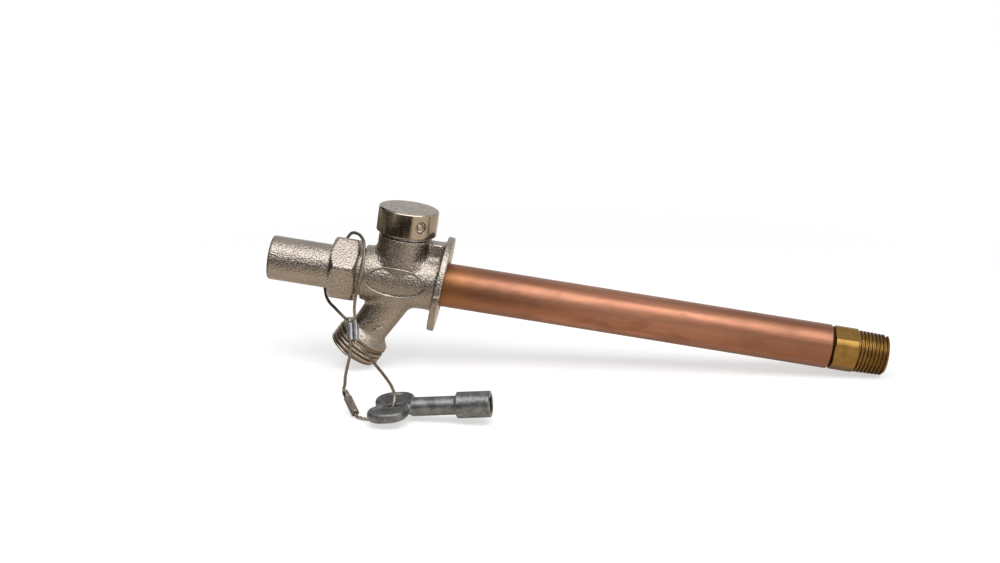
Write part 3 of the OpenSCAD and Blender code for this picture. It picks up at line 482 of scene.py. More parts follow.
def new_piece(context, name, points, faces, material, matrix=None, sharp=40.0):
    """A mesh object at the origin with its place in its mesh."""
    mesh = bpy.data.meshes.new(name)
    mesh.from_pydata(np.asarray(points).tolist(), [], [tuple(int(i) for i in f) for f in faces])
    if matrix is not None:
        mesh.transform(matrix)
    mesh.materials.append(material)
    obj = bpy.data.objects.new(name, mesh)
    context.scene.collection.objects.link(obj)
    smooth(mesh, sharp)
    if len(mesh.polygons) == 0:
        raise RuntimeError(name + " has no faces")
    return obj


def smooth(mesh, sharp):
    """Smooth shading with edges sharper than the angle kept."""
    mesh.validate()
    mesh.shade_smooth()
    mesh.set_sharp_from_angle(angle=math.radians(sharp))
    mesh.update()


def to_plain_mesh(context, obj):
    """Turns an object's evaluated shape into its plain mesh and removes its modifiers."""
    context.view_layer.update()
    ready = obj.evaluated_get(context.evaluated_depsgraph_get())
    mesh = bpy.data.meshes.new_from_object(ready)
    obj.modifiers.clear()
    obj.data = mesh
    if len(mesh.polygons) == 0:
        raise RuntimeError(obj.name + " has no faces")
    return mesh


class Sock:
    """A node's output that takes part in sums."""

    def __init__(self, tree, socket):
        self.tree = tree
        self.socket = socket

    def __add__(self, other):
        return self.tree.math("ADD", self, other)

    def __radd__(self, other):
        return self.tree.math("ADD", other, self)

    def __sub__(self, other):
        return self.tree.math("SUBTRACT", self, other)

    def __rsub__(self, other):
        return self.tree.math("SUBTRACT", other, self)

    def __mul__(self, other):
        return self.tree.math("MULTIPLY", self, other)

    def __rmul__(self, other):
        return self.tree.math("MULTIPLY", other, self)

    def __neg__(self):
        return self.tree.math("MULTIPLY", self, -1.0)


class Tree:
    """A node tree, built from empty."""

    def __init__(self, tree):
        self.tree = tree
        self.tree.nodes.clear()

    def node(self, kind, inputs, out=0, **settings):
        """Any node: settings on it, values or sockets into it, one of its outputs back."""
        made = self.tree.nodes.new(kind)
        for key, value in settings.items():
            setattr(made, key, value)
        for key, value in inputs.items():
            if isinstance(value, Sock):
                self.tree.links.new(value.socket, made.inputs[key])
            else:
                made.inputs[key].default_value = value
        return Sock(self, made.outputs[out]) if len(made.outputs) else None

    def math(self, operation, a, b=0.0):
        return self.node("ShaderNodeMath", {0: a, 1: b}, operation=operation)

    def axis(self, letter, at):
        """One coordinate of a place."""
        return self.node("ShaderNodeSeparateXYZ", {"Vector": at}, out=letter)


class Shader(Tree):
    """Node tree of one material."""

    def __init__(self, name):
        self.material = bpy.data.materials.new(name)
        self.material.use_nodes = True
        super().__init__(self.material.node_tree)

    def step(self, value, low, high):
        """Smooth step of a value from 0 at low to 1 at high."""
        return self.node("ShaderNodeMapRange", {0: value, 1: low, 2: high, 3: 0.0, 4: 1.0},
                         interpolation_type="SMOOTHSTEP")

    def place(self, scale=(1.0, 1.0, 1.0)):
        """Object coordinates in metres, scaled on each axis."""
        at = self.node("ShaderNodeTexCoord", {}, out="Object")
        return self.node("ShaderNodeMapping", {"Vector": at, "Scale": scale})

    def noise(self, at, scale, detail=3.0, rough=0.55):
        return self.node("ShaderNodeTexNoise",
                         {"Vector": at, "Scale": scale, "Detail": detail, "Roughness": rough})

    def cells(self, at, scale):
        """Distance to the nearest of scattered points."""
        return self.node("ShaderNodeTexVoronoi", {"Vector": at, "Scale": scale}, feature="F1")

    def mix(self, factor, a, b):
        """Colour between a and b."""
        return self.node("ShaderNodeMix", {0: factor, 6: a, 7: b}, out=2, data_type="RGBA")

    def bump(self, height, strength, distance, before=None):
        inputs = {"Height": height, "Strength": strength, "Distance": distance}
        if before is not None:
            inputs["Normal"] = before
        return self.node("ShaderNodeBump", inputs)

    def finish(self, **inputs):
        """Principled surface; the names use _ for a space."""
        named = {key.replace("_", " "): value for key, value in inputs.items()}
        return self.output(self.node("ShaderNodeBsdfPrincipled", named))

    def output(self, surface):
        self.node("ShaderNodeOutputMaterial", {"Surface": surface})
        return self.material


def tone(base, by, warm=0.0):
    """A colour made lighter or darker, and warmer."""
    return (min(1.0, base[0] * by * (1.0 + warm)), min(1.0, base[1] * by),
            min(1.0, base[2] * by * (1.0 - warm)), 1.0)


def sand_cast(name, base, mouth=None):
    """Nickel plate over a sand-cast skin: grain with painted glints, soft patches and a painted dark
    reflection round a mouth.
    """
    sh = Shader(name)
    at = sh.place()
    patch = sh.noise(at, 95.0, 3.0)
    sand = sh.noise(at, 1150.0, 1.0, 0.5)
    fine = sh.noise(at, 2900.0, 2.0, 0.5)
    shade = sh.mix(sh.step(patch, 0.32, 0.68), tone(base, 0.92, 0.02), tone(base, 1.06))
    shade = sh.mix(sh.step(sand + fine * 0.5, 0.52, 0.78), tone(base, 0.84, 0.03), shade)
    # painted glints: bright specks in the base colour where the grain peaks
    shade = sh.mix(sh.step(fine + sand, 1.10, 1.34), shade, tone(base, 1.5, -0.02))
    if mouth is not None:
        # painted dark reflection: the rounded rim at the mouth is darkened in the base colour
        beyond_painted_rim = sh.step(sh.axis("X", at) + sand * 0.0006, mouth + 0.0005, mouth + 0.0018)
        shade = sh.mix(beyond_painted_rim, tone(base, 0.40, 0.06), shade)
    return sh.finish(Base_Color=shade, Metallic=1.0, Roughness=sh.step(fine, 0.2, 0.8) * 0.10 + 0.19,
                     Normal=sh.bump(sand + fine * 0.28, 0.9, 0.00044))


def bright_nickel(name, base, top_z):
    """Turned nickel with a sand-textured top and fine turning marks on the side."""
    sh = Shader(name)
    at = sh.place()
    top = sh.step(sh.axis("Z", at), top_z - 0.0003, top_z - 0.00005)
    sand = sh.noise(at, 1300.0, 2.5, 0.6)
    blot = sh.noise(at, 320.0, 2.0)
    rings = sh.noise(sh.place((60.0, 60.0, 5200.0)), 1.0, 2.0)
    smear = sh.noise(sh.place((420.0, 420.0, 70.0)), 1.0, 3.0)
    side = sh.mix(sh.step(smear, 0.35, 0.7), tone(base, 0.92), tone(base, 1.06))
    crown = sh.mix(sh.step(sand + blot * 0.6, 0.62, 0.98), tone(base, 0.62), tone(base, 1.30))
    height = (sand * 2.0 + blot * 1.6) * top + rings * 0.22
    rough = top * (0.18 + sand * 0.16) + (1.0 - top) * (0.10 + smear * 0.10)
    return sh.finish(Base_Color=sh.mix(top, side, crown), Metallic=1.0, Roughness=rough,
                     Normal=sh.bump(height, 0.5, 0.0002))


def drawn_copper(name, base):
    """Drawn copper: long fine streaks, slow waves, blotches, painted shade towards both ends and a heat tint
    by the flange.
    """
    sh = Shader(name)
    streak = sh.noise(sh.place((16.0, 1300.0, 1300.0)), 1.0, 3.0, 0.6)
    wide = sh.noise(sh.place((9.0, 240.0, 240.0)), 1.0, 3.0, 0.55)
    wave = sh.noise(sh.place((22.0, 75.0, 75.0)), 1.0, 2.0, 0.5)
    blot = sh.noise(sh.place((55.0, 110.0, 110.0)), 1.0, 4.0, 0.6)
    chatter = sh.noise(sh.place((620.0, 40.0, 40.0)), 1.0, 2.0, 0.5)
    speck = sh.cells(sh.place(), 420.0)
    shade = sh.mix(sh.step(wide, 0.3, 0.7), tone(base, 0.74, 0.06), tone(base, 1.18, -0.02))
    shade = sh.mix(sh.step(blot, 0.48, 0.72) * 0.6, shade, tone(base, 0.66, 0.04))
    shade = sh.mix((1.0 - sh.step(speck, 0.03, 0.14)) * 0.35, shade, tone(base, 0.5))
    along = sh.axis("X", sh.place())
    # painted shade: the base colour is darker towards both ends of the tube
    painted_end_shade = sh.math("MAXIMUM", 1.0 - sh.step(along, 0.012, 0.075), sh.step(along, 0.115, 0.185)) * 0.5
    shade = sh.mix(painted_end_shade, shade, (base[0] * 0.60, base[1] * 0.54, base[2] * 0.45, 1.0))
    heat = (1.0 - sh.step(along + (blot - 0.5) * 0.008, 0.006, 0.020)) * 0.85
    shade = sh.mix(heat, shade, (base[0] * 0.92, base[1] * 0.86, base[2] * 0.50, 1.0))
    slant = sh.node("ShaderNodeVectorRotate", {"Vector": sh.place(), "Angle": 0.42}, rotation_type="Y_AXIS")
    drawn = sh.node("ShaderNodeVectorMath", {0: slant, 1: (45.0, 300.0, 2600.0)}, operation="MULTIPLY")
    scratch = sh.noise(drawn, 1.0, 2.0)
    rough = 0.30 + streak * 0.16 + sh.step(blot, 0.45, 0.75) * 0.12
    slow = sh.bump(wave, 0.5, 0.0012)
    lines = streak * 0.7 + wide * 0.3 + chatter * 0.25 + sh.step(scratch, 0.52, 0.8) * 0.8
    return sh.finish(Base_Color=shade, Metallic=1.0, Roughness=rough, Coat_Weight=0.3, Coat_Roughness=0.3,
                     Normal=sh.bump(lines, 0.34, 0.00018, slow))


def turned_brass(name, base, groove=None):
    """Turned brass: tool rings across the axis, stained patches and a dark groove, partly solder soot and
    partly painted shade in the recess.
    """
    sh = Shader(name)
    rings = sh.noise(sh.place((4200.0, 90.0, 90.0)), 1.0, 2.0)
    stain = sh.noise(sh.place((160.0, 160.0, 160.0)), 1.0, 4.0, 0.6)
    fine = sh.noise(sh.place(), 1700.0, 2.0)
    shade = sh.mix(sh.step(stain, 0.34, 0.68), tone(base, 0.80, 0.03), tone(base, 1.10))
    shade = sh.mix(sh.step(fine, 0.55, 0.8) * 0.4, shade, tone(base, 0.55))
    rough = 0.26 + stain * 0.14 + rings * 0.06
    if groove is not None:
        # solder soot with painted shade: the groove between tube and hexagon is darkened in the base colour
        soot_and_shade = sh.step(groove + stain * 0.0008 - sh.axis("X", sh.place()), -0.0002, 0.0002)
        shade = sh.mix(soot_and_shade, shade, tone(base, 0.10))
        rough = rough + soot_and_shade * 0.3
    return sh.finish(Base_Color=shade, Metallic=1.0, Roughness=rough,
                     Normal=sh.bump(rings * 0.5 + fine * 0.5, 0.2, 0.00012))


def threaded(name, base, at, axis, root, crest, grime):
    """Cut thread: rubbed crests and roots darkened with grime and painted shade, by the distance from the
    thread's axis, and painted glints on nicks.
    """
    sh = Shader(name)
    here = sh.place()
    stain = sh.noise(here, 240.0, 3.0, 0.6)
    nicks_and_glints = sh.noise(here, 1400.0, 3.0, 0.6)
    away = sh.node("ShaderNodeVectorMath", {0: here, 1: tuple(at)}, operation="SUBTRACT")
    lever = sh.node("ShaderNodeVectorMath", {0: away, 1: tuple(axis)}, operation="CROSS_PRODUCT")
    depth = sh.node("ShaderNodeVectorMath", {0: lever}, out="Value", operation="LENGTH")
    rubbed = sh.step(depth + (nicks_and_glints - 0.5) * (crest - root) * 0.8, root + (crest - root) * 0.25, crest)
    shade = sh.mix(sh.step(stain, 0.34, 0.68), tone(base, 0.80, 0.04), tone(base, 1.10))
    # painted glints: bright spots in the base colour on the nicks
    shade = sh.mix(sh.step(nicks_and_glints, 0.5, 0.7), shade, tone(base, 2.0))
    # grime with painted shade: the thread roots are darkened in the base colour by the grime amount
    shade = sh.mix(rubbed, tone(base, 1.0 - grime, 0.12), shade)
    return sh.finish(Base_Color=shade, Metallic=1.0, Roughness=0.44 - rubbed * 0.22 + stain * 0.08,
                     Normal=sh.bump(nicks_and_glints, 0.3, 0.00012))


def tumbled_zinc(name, base):
    """Die-cast zinc: soft speckle, light streaks and darker patches."""
    sh = Shader(name)
    at = sh.place()
    patch = sh.noise(at, 210.0, 4.0, 0.65)
    speck = sh.noise(at, 1500.0, 2.0, 0.6)
    scuff = sh.noise(sh.place((110.0, 900.0, 900.0)), 1.0, 3.0)
    shade = sh.mix(sh.step(patch, 0.36, 0.64), tone(base, 0.62), tone(base, 1.22))
    shade = sh.mix(sh.step(speck, 0.52, 0.72) * 0.4, shade, tone(base, 1.9))
    shade = sh.mix(sh.step(scuff, 0.60, 0.8) * 0.5, shade, tone(base, 1.7))
    rough = 0.27 + patch * 0.18
    return sh.finish(Base_Color=shade, Metallic=0.8, Roughness=rough,
                     Normal=sh.bump(speck * 0.7 + patch * 0.8, 0.40, 0.00022))


def plain_metal(name, base, rough):
    """Bright metal with fine scratches and soft stains."""
    sh = Shader(name)
    at = sh.place()
    scratch = sh.noise(at, 1200.0, 3.0, 0.65)
    stain = sh.noise(at, 420.0, 3.0)
    shade = sh.mix(sh.step(stain, 0.35, 0.7), tone(base, 0.78, 0.03), tone(base, 1.16))
    return sh.finish(Base_Color=shade, Metallic=1.0, Roughness=rough + scratch * 0.16,
                     Normal=sh.bump(scratch, 0.25, 0.0001))


def wire(name, base):
    """Stranded wire: fine wires along the strands, painted shade between them, and darker where it runs high
    and far to the left.
    """
    sh = Shader(name)
    dark = sh.node("ShaderNodeAttribute", {}, out="Fac", attribute_name="groove")
    at = sh.place()
    grime = sh.noise(at, 700.0, 3.0)
    fine = sh.noise(at, 2600.0, 2.0)
    # darker where the rope runs high and far to the left
    high = sh.step(sh.axis("Z", at) + grime * 0.004, 0.008, 0.018)
    out = sh.step(-sh.axis("X", at) + grime * 0.004, 0.047, 0.053)
    high_and_left_dark = sh.math("MAXIMUM", high, out)
    shade = sh.mix(sh.step(grime, 0.35, 0.7), tone(base, 0.95, 0.05), tone(base, 1.6))
    shade = sh.mix(high_and_left_dark * 0.8, shade, tone(base, 0.34, 0.08))
    # painted shade: the grooves between the strands are darkened in the base colour
    shade = sh.mix(sh.step(dark, 0.04, 0.5), shade, tone(base, 0.07, 0.1))
    return sh.finish(Base_Color=shade, Metallic=1.0, Roughness=0.26 + grime * 0.2,
                     Normal=sh.bump(fine, 0.3, 0.0001))


def moulded(name, base, rough, coat=0.0):
    """Rubber, fibre or plastic with a moulded skin."""
    sh = Shader(name)
    at = sh.place()
    cloud = sh.noise(at, 260.0, 3.0)
    skin = sh.noise(at, 2400.0, 3.0)
    shade = sh.mix(sh.step(cloud, 0.3, 0.7), tone(base, 0.88), tone(base, 1.12))
    return sh.finish(Base_Color=shade, Metallic=0.0, Roughness=rough + skin * 0.12, Coat_Weight=coat,
                     Normal=sh.bump(skin, 0.25, 0.0001))


def finishes(context):
    """All materials by slot name, made once."""
    looks = getattr(context.scene, LOOKS)
    head = getattr(context.scene, HEAD)
    line = getattr(context.scene, LINE)
    root, down = spout_axis(head)
    pipe_r, hose_r = line.pipe_d0 / 2, head.hose_d / 2
    makers = {
        "nickel_casting": (sand_cast, looks.nickel),
        "nickel_shield": (sand_cast, looks.nickel, line.shield_x0),
        "nickel_polished": (bright_nickel, looks.polished, head.cap_z1),
        "copper": (drawn_copper, looks.copper),
        "brass": (turned_brass, looks.brass),
        "brass_inlet": (turned_brass, looks.brass, line.inlet_hex_x0 - 0.0002),
        "brass_thread": (threaded, tone(looks.brass, 0.58, 0.10), (0.0, 0.0, 0.0), X_AXIS,
                         pipe_r - line.pipe_depth, pipe_r, looks.brass_root_grime_shade),
        "nickel_thread": (threaded, tone(looks.nickel, 1.0, 0.03), root, down,
                          hose_r - head.hose_depth, hose_r, looks.nickel_root_grime_shade),
        "screw": (plain_metal, looks.polished, 0.14),
        "zinc": (tumbled_zinc, looks.zinc),
        "steel": (plain_metal, looks.steel, 0.3),
        "wire": (wire, tone(looks.steel, 2.3, 0.02)),
        "connector": (plain_metal, tone(looks.steel, 1.6), 0.26),
        "aluminium": (plain_metal, looks.aluminium, 0.2),
        "rubber": (moulded, looks.rubber, 0.5),
        "packing": (moulded, looks.packing, 0.6),
        "fibre": (moulded, looks.fibre, 0.55),
        "plastic": (moulded, looks.plastic, 0.35, 0.2),
    }
    return {name: bpy.data.materials.get("finish_" + name) or make("finish_" + name, *given)
            for name, (make, *given) in makers.items()}


def spout_axis(s):
    """Root and direction of the spout."""
    down = np.array((-math.cos(s.spout_angle), 0.0, -math.sin(s.spout_angle)))
    return np.array((-s.spout_x, 0.0, 0.0)), down


def casting_distance(s):
    """Distance function of the head casting."""
    root, down = spout_axis(s)
    lean = np.array((math.cos(s.flange_pitch), 0.0, -math.sin(s.flange_pitch)))
    centre = np.array((-s.breaker_x, 0.0, 0.0))
    slant = math.atan2(s.collar_d / 2 - s.spout_neck_d / 2, s.collar_l - s.flare_l)

    def spout(p):
        away = p - root
        t = away @ down
        rho = np.sqrt(np.maximum((away * away).sum(1) - t * t, 0.0))
        neck = rho - (s.spout_root_d + (s.spout_neck_d - s.spout_root_d) * t / s.flare_l) / 2
        flare = (rho - s.spout_neck_d / 2 - (t - s.flare_l) * math.tan(slant)) * math.cos(slant)
        collar = np.maximum(flare, rho - s.collar_d / 2)
        collar = np.maximum(collar, s.flare_l - 0.002 - t)
        body = join(neck, collar, 0.0016)
        chamfer = (rho - s.collar_d / 2 + (t - s.hose_top + 0.0008)) * 0.7071
        return np.maximum(np.maximum(body, -t), np.maximum(t - s.hose_top, chamfer))

    def distance(p):
        x, y, z = p.T
        barrel = bar(p, (-s.head_l, 0.0, 0.0), X_AXIS, s.head_l - s.flange_t / 2, s.barrel_d / 2, 0.0008)
        housing = bar(p, centre, Z_AXIS, s.housing_z, s.housing_d / 2, 0.0007)
        neck = bar(p, centre, Z_AXIS, s.neck_z, s.neck_d / 2, 0.0002)
        solid = join(barrel, np.minimum(housing, neck), 0.0036 * ramp(z, 0.004, 0.011))
        rib = block(p, ((-s.breaker_x - s.flange_t / 2) / 2, 0.0, s.rib_top / 2),
                    ((s.breaker_x - s.flange_t / 2) / 2, s.rib_half_w, s.rib_top / 2), 0.0009)
        solid = join(solid, rib, 0.0022 * ramp(s.housing_z - 0.0012 - z, 0.0, 0.004))
        flange = bar(p, -lean * s.flange_t, lean, s.flange_t, s.flange_d / 2, 0.0005)
        solid = join(solid, flange, 0.0026 * ramp(np.hypot(y, z), 0.0236, 0.021))
        solid = join(solid, spout(p), 0.0034 * ramp(-z, 0.004, 0.010))
        for side in (-1.0, 1.0):
            start = np.array((0.0, side * s.screw_pcd / 2, 0.0)) - 0.01 * lean
            solid = cut(solid, bar(p, start, lean, 0.02, s.screw_hole_d / 2), 0.0005)
        groove = np.maximum(np.abs(z - s.screw_z) - 0.0013,
                            s.neck_d / 2 - 0.0012 - np.hypot(x + s.breaker_x, y))
        solid = np.maximum(solid, -np.maximum(groove, s.housing_z + 0.003 - z))
        for start, axis, long, wide in (
                ((-s.head_l - 0.01, 0, 0), X_AXIS, s.head_l + 0.01 - s.front_l, s.front_d),
                ((-s.front_l - 0.001, 0, 0), X_AXIS, s.front_l - s.water_l + 0.002, s.gland_d),
                ((-s.water_l, 0, 0), X_AXIS, s.water_l - s.socket_l + 0.001, s.water_d),
                ((-s.socket_l, 0, 0), X_AXIS, s.socket_l + 0.02, s.socket_d),
                (-s.relief_l * lean, lean, 0.01, s.relief_d),
                (root, down, s.spout_l + 0.01, s.spout_bore),
                (centre, Z_AXIS, s.ledge_z + 0.001, s.port_d),
                (centre + s.ledge_z * Z_AXIS, Z_AXIS, s.neck_z, s.chamber_d)):
            solid = np.maximum(solid, -bar(p, start, axis, long, wide / 2))
        return solid

    return distance


class SILLCOCK_OT_stage(bpy.types.Operator):
    """Camera at the photographed angle, pale floor, softbox and side lamps"""

    bl_idname = "sillcock.stage"
    bl_label = "Stage"

    def execute(self, context):
        s = getattr(context.scene, STAGE)
        scene = context.scene
        scene.view_settings.view_transform = "Standard"
        yaw, pitch, roll = s.camera_yaw, s.camera_pitch, s.camera_roll
        ahead = Vector((-math.sin(yaw) * math.cos(pitch), math.cos(yaw) * math.cos(pitch), -math.sin(pitch)))
        right = Vector((math.cos(yaw), math.sin(yaw), 0.0))
        up = right.cross(ahead)
        side = math.cos(roll) * right + math.sin(roll) * up
        top = math.cos(roll) * up - math.sin(roll) * right
        turned = Matrix((side, top, -ahead)).transposed().to_4x4()
        data = bpy.data.cameras.new("photo_camera")
        data.lens = s.camera_lens
        data.sensor_width = 36.0
        data.sensor_fit = "HORIZONTAL"
        data.clip_start = 0.01
        data.clip_end = 50.0
        camera = bpy.data.objects.new("photo_camera", data)
        camera.matrix_world = Matrix.Translation(Vector(s.camera_at)) @ turned
        scene.collection.objects.link(camera)
        scene.camera = camera
        self.floor(context, s)
        self.cards(context, s)
        self.lamps(context, s)
        self.world(context, s)
        return {"FINISHED"}

    def lay(self, s):
        """Matrix of the floor's frame, whose origin is below the head."""
        tilt = Matrix.Rotation(-s.floor_tilt, 4, "Y")
        return tilt @ Matrix.Translation((0.0, 0.0, -s.floor_drop))

    def floor(self, context, s):
        """Pale paper that fades to plain white away from the object, and shows warmer in metal."""
        angle = np.arange(96) * 2.0 * math.pi / 96
        points = np.stack((s.floor_r * np.cos(angle), s.floor_r * np.sin(angle), 0.0 * angle), 1)
        sh = Shader("pale_floor")
        at = sh.place()
        mottle = sh.noise(at, 900.0, 3.0)
        away = sh.node("ShaderNodeVectorMath", {0: at, 1: (0.06, -0.03, 0.0)}, operation="SUBTRACT")
        far = sh.node("ShaderNodeVectorMath", {0: away}, out="Value", operation="LENGTH")

        def paper(tint, white, own):
            near = sh.node("ShaderNodeBsdfPrincipled", {
                "Base Color": sh.mix(mottle, tone(tint, white - 0.01), tone(tint, white + 0.01)),
                "Roughness": 1.0, "Specular IOR Level": 0.0, "Emission Color": (*tint, 1.0),
                "Emission Strength": own})
            glow = sh.node("ShaderNodeEmission", {"Color": (*tint, 1.0), "Strength": 1.0})
            return sh.node("ShaderNodeMixShader", {0: sh.step(far, 0.16, 0.46), 1: near, 2: glow})

        mirrored = sh.node("ShaderNodeLightPath", {}, out="Is Glossy Ray")
        surface = sh.node("ShaderNodeMixShader", {
            0: mirrored, 1: paper(WHITE, 0.55, s.floor_glow), 2: paper(tuple(s.floor_warm), 0.80, 0.22)})
        clear = sh.node("ShaderNodeBsdfTransparent", {})
        back = sh.node("ShaderNodeNewGeometry", {}, out="Backfacing")
        material = sh.output(sh.node("ShaderNodeMixShader", {0: back, 1: surface, 2: clear}))
        floor = new_piece(context, "floor", points, [range(len(points))], material, self.lay(s))

    def cards(self, context, s):
        """Dark reflector cards outside the view, which only metal shows."""
        dark, brown = (self.card_cloth(name, tuple(shade)) for name, shade in
                       (("dark_card", s.card_dark), ("brown_card", s.card_brown)))
        cards = []
        for name, first, last, material in (("floor_card", -83.5, 21.0, dark),
                                            ("side_card", -175.0, -83.5, brown)):
            turns = np.radians(np.linspace(first, last, 25))
            rim = [(r * math.sin(a) - 0.02, -r * math.cos(a), 0.0015)
                   for r, angles in ((s.card_r0, turns), (s.card_r1, turns[::-1])) for a in angles]
            cards.append(new_piece(context, name, rim, [range(len(rim))[::-1]], material, self.lay(s)))
        front = [(-0.83, -1.1, -0.3), (-0.06, -1.1, -0.3), (-0.06, -1.1, 0.62), (-0.83, -1.1, 0.30)]
        left = [(-0.9, -0.7, -0.3), (-0.9, 0.9, -0.3), (-0.9, 0.9, 0.55), (-0.9, -0.7, 0.55)]
        for name, wall in (("front_card", front), ("left_card", left)):
            cards.append(new_piece(context, name, wall, [(3, 2, 1, 0)], dark))
        for card in cards:
            card.visible_camera = False
            card.visible_diffuse = False
            card.visible_shadow = False

    def card_cloth(self, name, shade):
        """Matt cloth of a reflector card."""
        sh = Shader(name)
        cloth = sh.noise(sh.place(), 300.0, 3.0)
        return sh.finish(Base_Color=sh.mix(cloth, tone(shade, 0.8), tone(shade, 1.2)), Roughness=1.0,
                         Specular_IOR_Level=0.0)

    def lamps(self, context, s):
        """Softbox above and a lamp at each side; metal doesn't show the left one."""
        for name, at, aim, size, power, mirrored in (
                ("softbox", (0.04, -0.31, 0.57), (0.02, 0.01, 0.0), (0.95, 0.46), s.key_power, True),
                ("right_fill", (0.62, -0.42, 0.26), (0.0, 0.0, 0.0), (0.30, 0.50), s.fill_power, True),
                ("left_fill", (-0.62, -0.18, 0.22), (-0.03, 0.0, 0.0), (0.20, 0.45), s.fill_power, False)):
            data = bpy.data.lights.new(name, "AREA")
            data.shape = "RECTANGLE"
            data.size, data.size_y = size
            data.energy = power
            lamp = bpy.data.objects.new(name, data)
            facing = (Vector(aim) - Vector(at)).to_track_quat("-Z", "Y").to_matrix().to_4x4()
            lamp.matrix_world = Matrix.Translation(Vector(at)) @ facing
            lamp.visible_glossy = mirrored
            context.scene.collection.objects.link(lamp)

    def world(self, context, s):
        """White where the camera looks past the floor, a soft room in metal and sky light for the rest."""
        world = bpy.data.worlds.new("studio")
        world.use_nodes = True
        tree = Tree(world.node_tree)
        camera, glossy, through = (tree.node("ShaderNodeLightPath", {}, out=ray) for ray in
                                   ("Is Camera Ray", "Is Glossy Ray", "Is Transmission Ray"))
        seen = tree.math("MAXIMUM", tree.math("MAXIMUM", camera, glossy), through)
        sky, white, room = (tree.node("ShaderNodeBackground", {"Color": (*shade, 1.0), "Strength": level})
                            for shade, level in ((WHITE, s.ambient), (WHITE, 1.0), (s.room, 1.0)))
        behind = tree.node("ShaderNodeMixShader", {0: glossy, 1: white, 2: room})
        mixed = tree.node("ShaderNodeMixShader", {0: seen, 1: sky, 2: behind})
        tree.node("ShaderNodeOutputWorld", {"Surface": mixed})
        context.scene.world = world


def crimp_matrix(s):
    """Frame of the crimp sleeve, its axis along Z."""
    return frame_matrix(s.crimp_at, (s.crimp_head, "Z"), (s.crimp_tilt, "Y"), (s.crimp_spin, "Z"))


def joint_matrix(s):
    """Frame of the connector, its axis along Z from the ferrule's end."""
    return frame_matrix(s.joint_at, (s.joint_head, "Z"), (s.joint_tilt, "Y"))


def lathe_matrix(s):
    """Frame of the connector for shapes that are turned about the X axis."""
    return joint_matrix(s) @ Matrix.Rotation(-math.pi / 2, 4, "Y")


LEFT_LEG = ((-36.6, -55.5, -40.6), (-37.8, -48.0, -39.6), (-38.5, -40.0, -37.8), (-39.0, -32.5, -35.4),
            (-39.7, -27.0, -32.9))
UPPER_LOOP = ((-44.6, -17.7, -20.8), (-48.9, -13.6, -19.4), (-52.6, -9.2, -18.3), (-55.8, -5.4, -17.4),
              (-58.5, -1.2, -15.7), (-60.6, 3.6, -12.2), (-61.4, 9.4, -11.2), (-60.6, 15.4, -8.2),
              (-58.6, 19.0, -2.6), (-57.0, 19.0, 4.0), (-54.8, 16.6, 10.0), (-52.2, 12.0, 15.0),
              (-50.0, 6.0, 17.7), (-47.4, -0.8, 19.5), (-44.4, -6.4, 20.0), (-41.9, -10.8, 18.3),
              (-40.5, -14.8, 13.8), (-40.0, -17.6, 7.8), (-40.7, -18.8, 1.0), (-41.3, -19.0, -7.0),
              (-41.4, -19.0, -13.4))
RIGHT_LEG = ((-33.9, -26.0, -31.6), (-29.8, -31.2, -33.3), (-26.2, -37.6, -34.0), (-22.1, -45.6, -34.2),
             (-18.0, -54.0, -34.4), (-14.3, -62.4, -34.6), (-11.7, -69.6, -35.2), (-10.6, -73.6, -36.4),
             (-10.5, -75.9, -39.0), (-11.3, -77.2, -42.2), (-13.6, -78.8, -44.5), (-17.4, -80.4, -45.7),
             (-21.4, -81.0, -46.2), (-24.6, -80.1, -46.5))


def cable_route(s):
    """Points of the wire rope's middle line, from the ferrule round the neck and the key to the barrel."""
    crimp, joint = crimp_matrix(s), joint_matrix(s)

    def in_crimp(side, *along):
        return [tuple(crimp @ Vector((0.0, side * s.crimp_half, a * 0.001))) for a in along]

    def in_joint(start, *along):
        return [tuple(joint @ Vector((0.0, 0.0, start + a * 0.001))) for a in along]

    def leg(points):
        return [tuple(0.001 * c for c in p) for p in points]

    up = in_joint(0.0, 2.5, 0.0, -2.0) + leg(LEFT_LEG) + in_crimp(-1, 5.5, 4.1, -4.1, -5.5)
    down = in_crimp(1, -5.5, -4.1, 4.1, 5.5) + leg(RIGHT_LEG) + in_joint(s.joint_l, 2.0, 0.0, -2.5)
    p = np.array(up + leg(UPPER_LOOP) + down)
    p = np.concatenate((p[:1], p, p[-1:]))
    out = []
    for i in range(1, len(p) - 2):
        n = max(2, int(np.linalg.norm(p[i + 1] - p[i]) / 0.0003))
        for k in range(n):
            t = k / n
            a, b, c, d = p[i - 1], p[i], p[i + 1], p[i + 2]
            out.append(0.5 * (2 * b + (c - a) * t + (2 * a - 5 * b + 4 * c - d) * t ** 2
                              + (3 * b - a - 3 * c + d) * t ** 3))
    out.append(p[-2])
    return np.array(out)


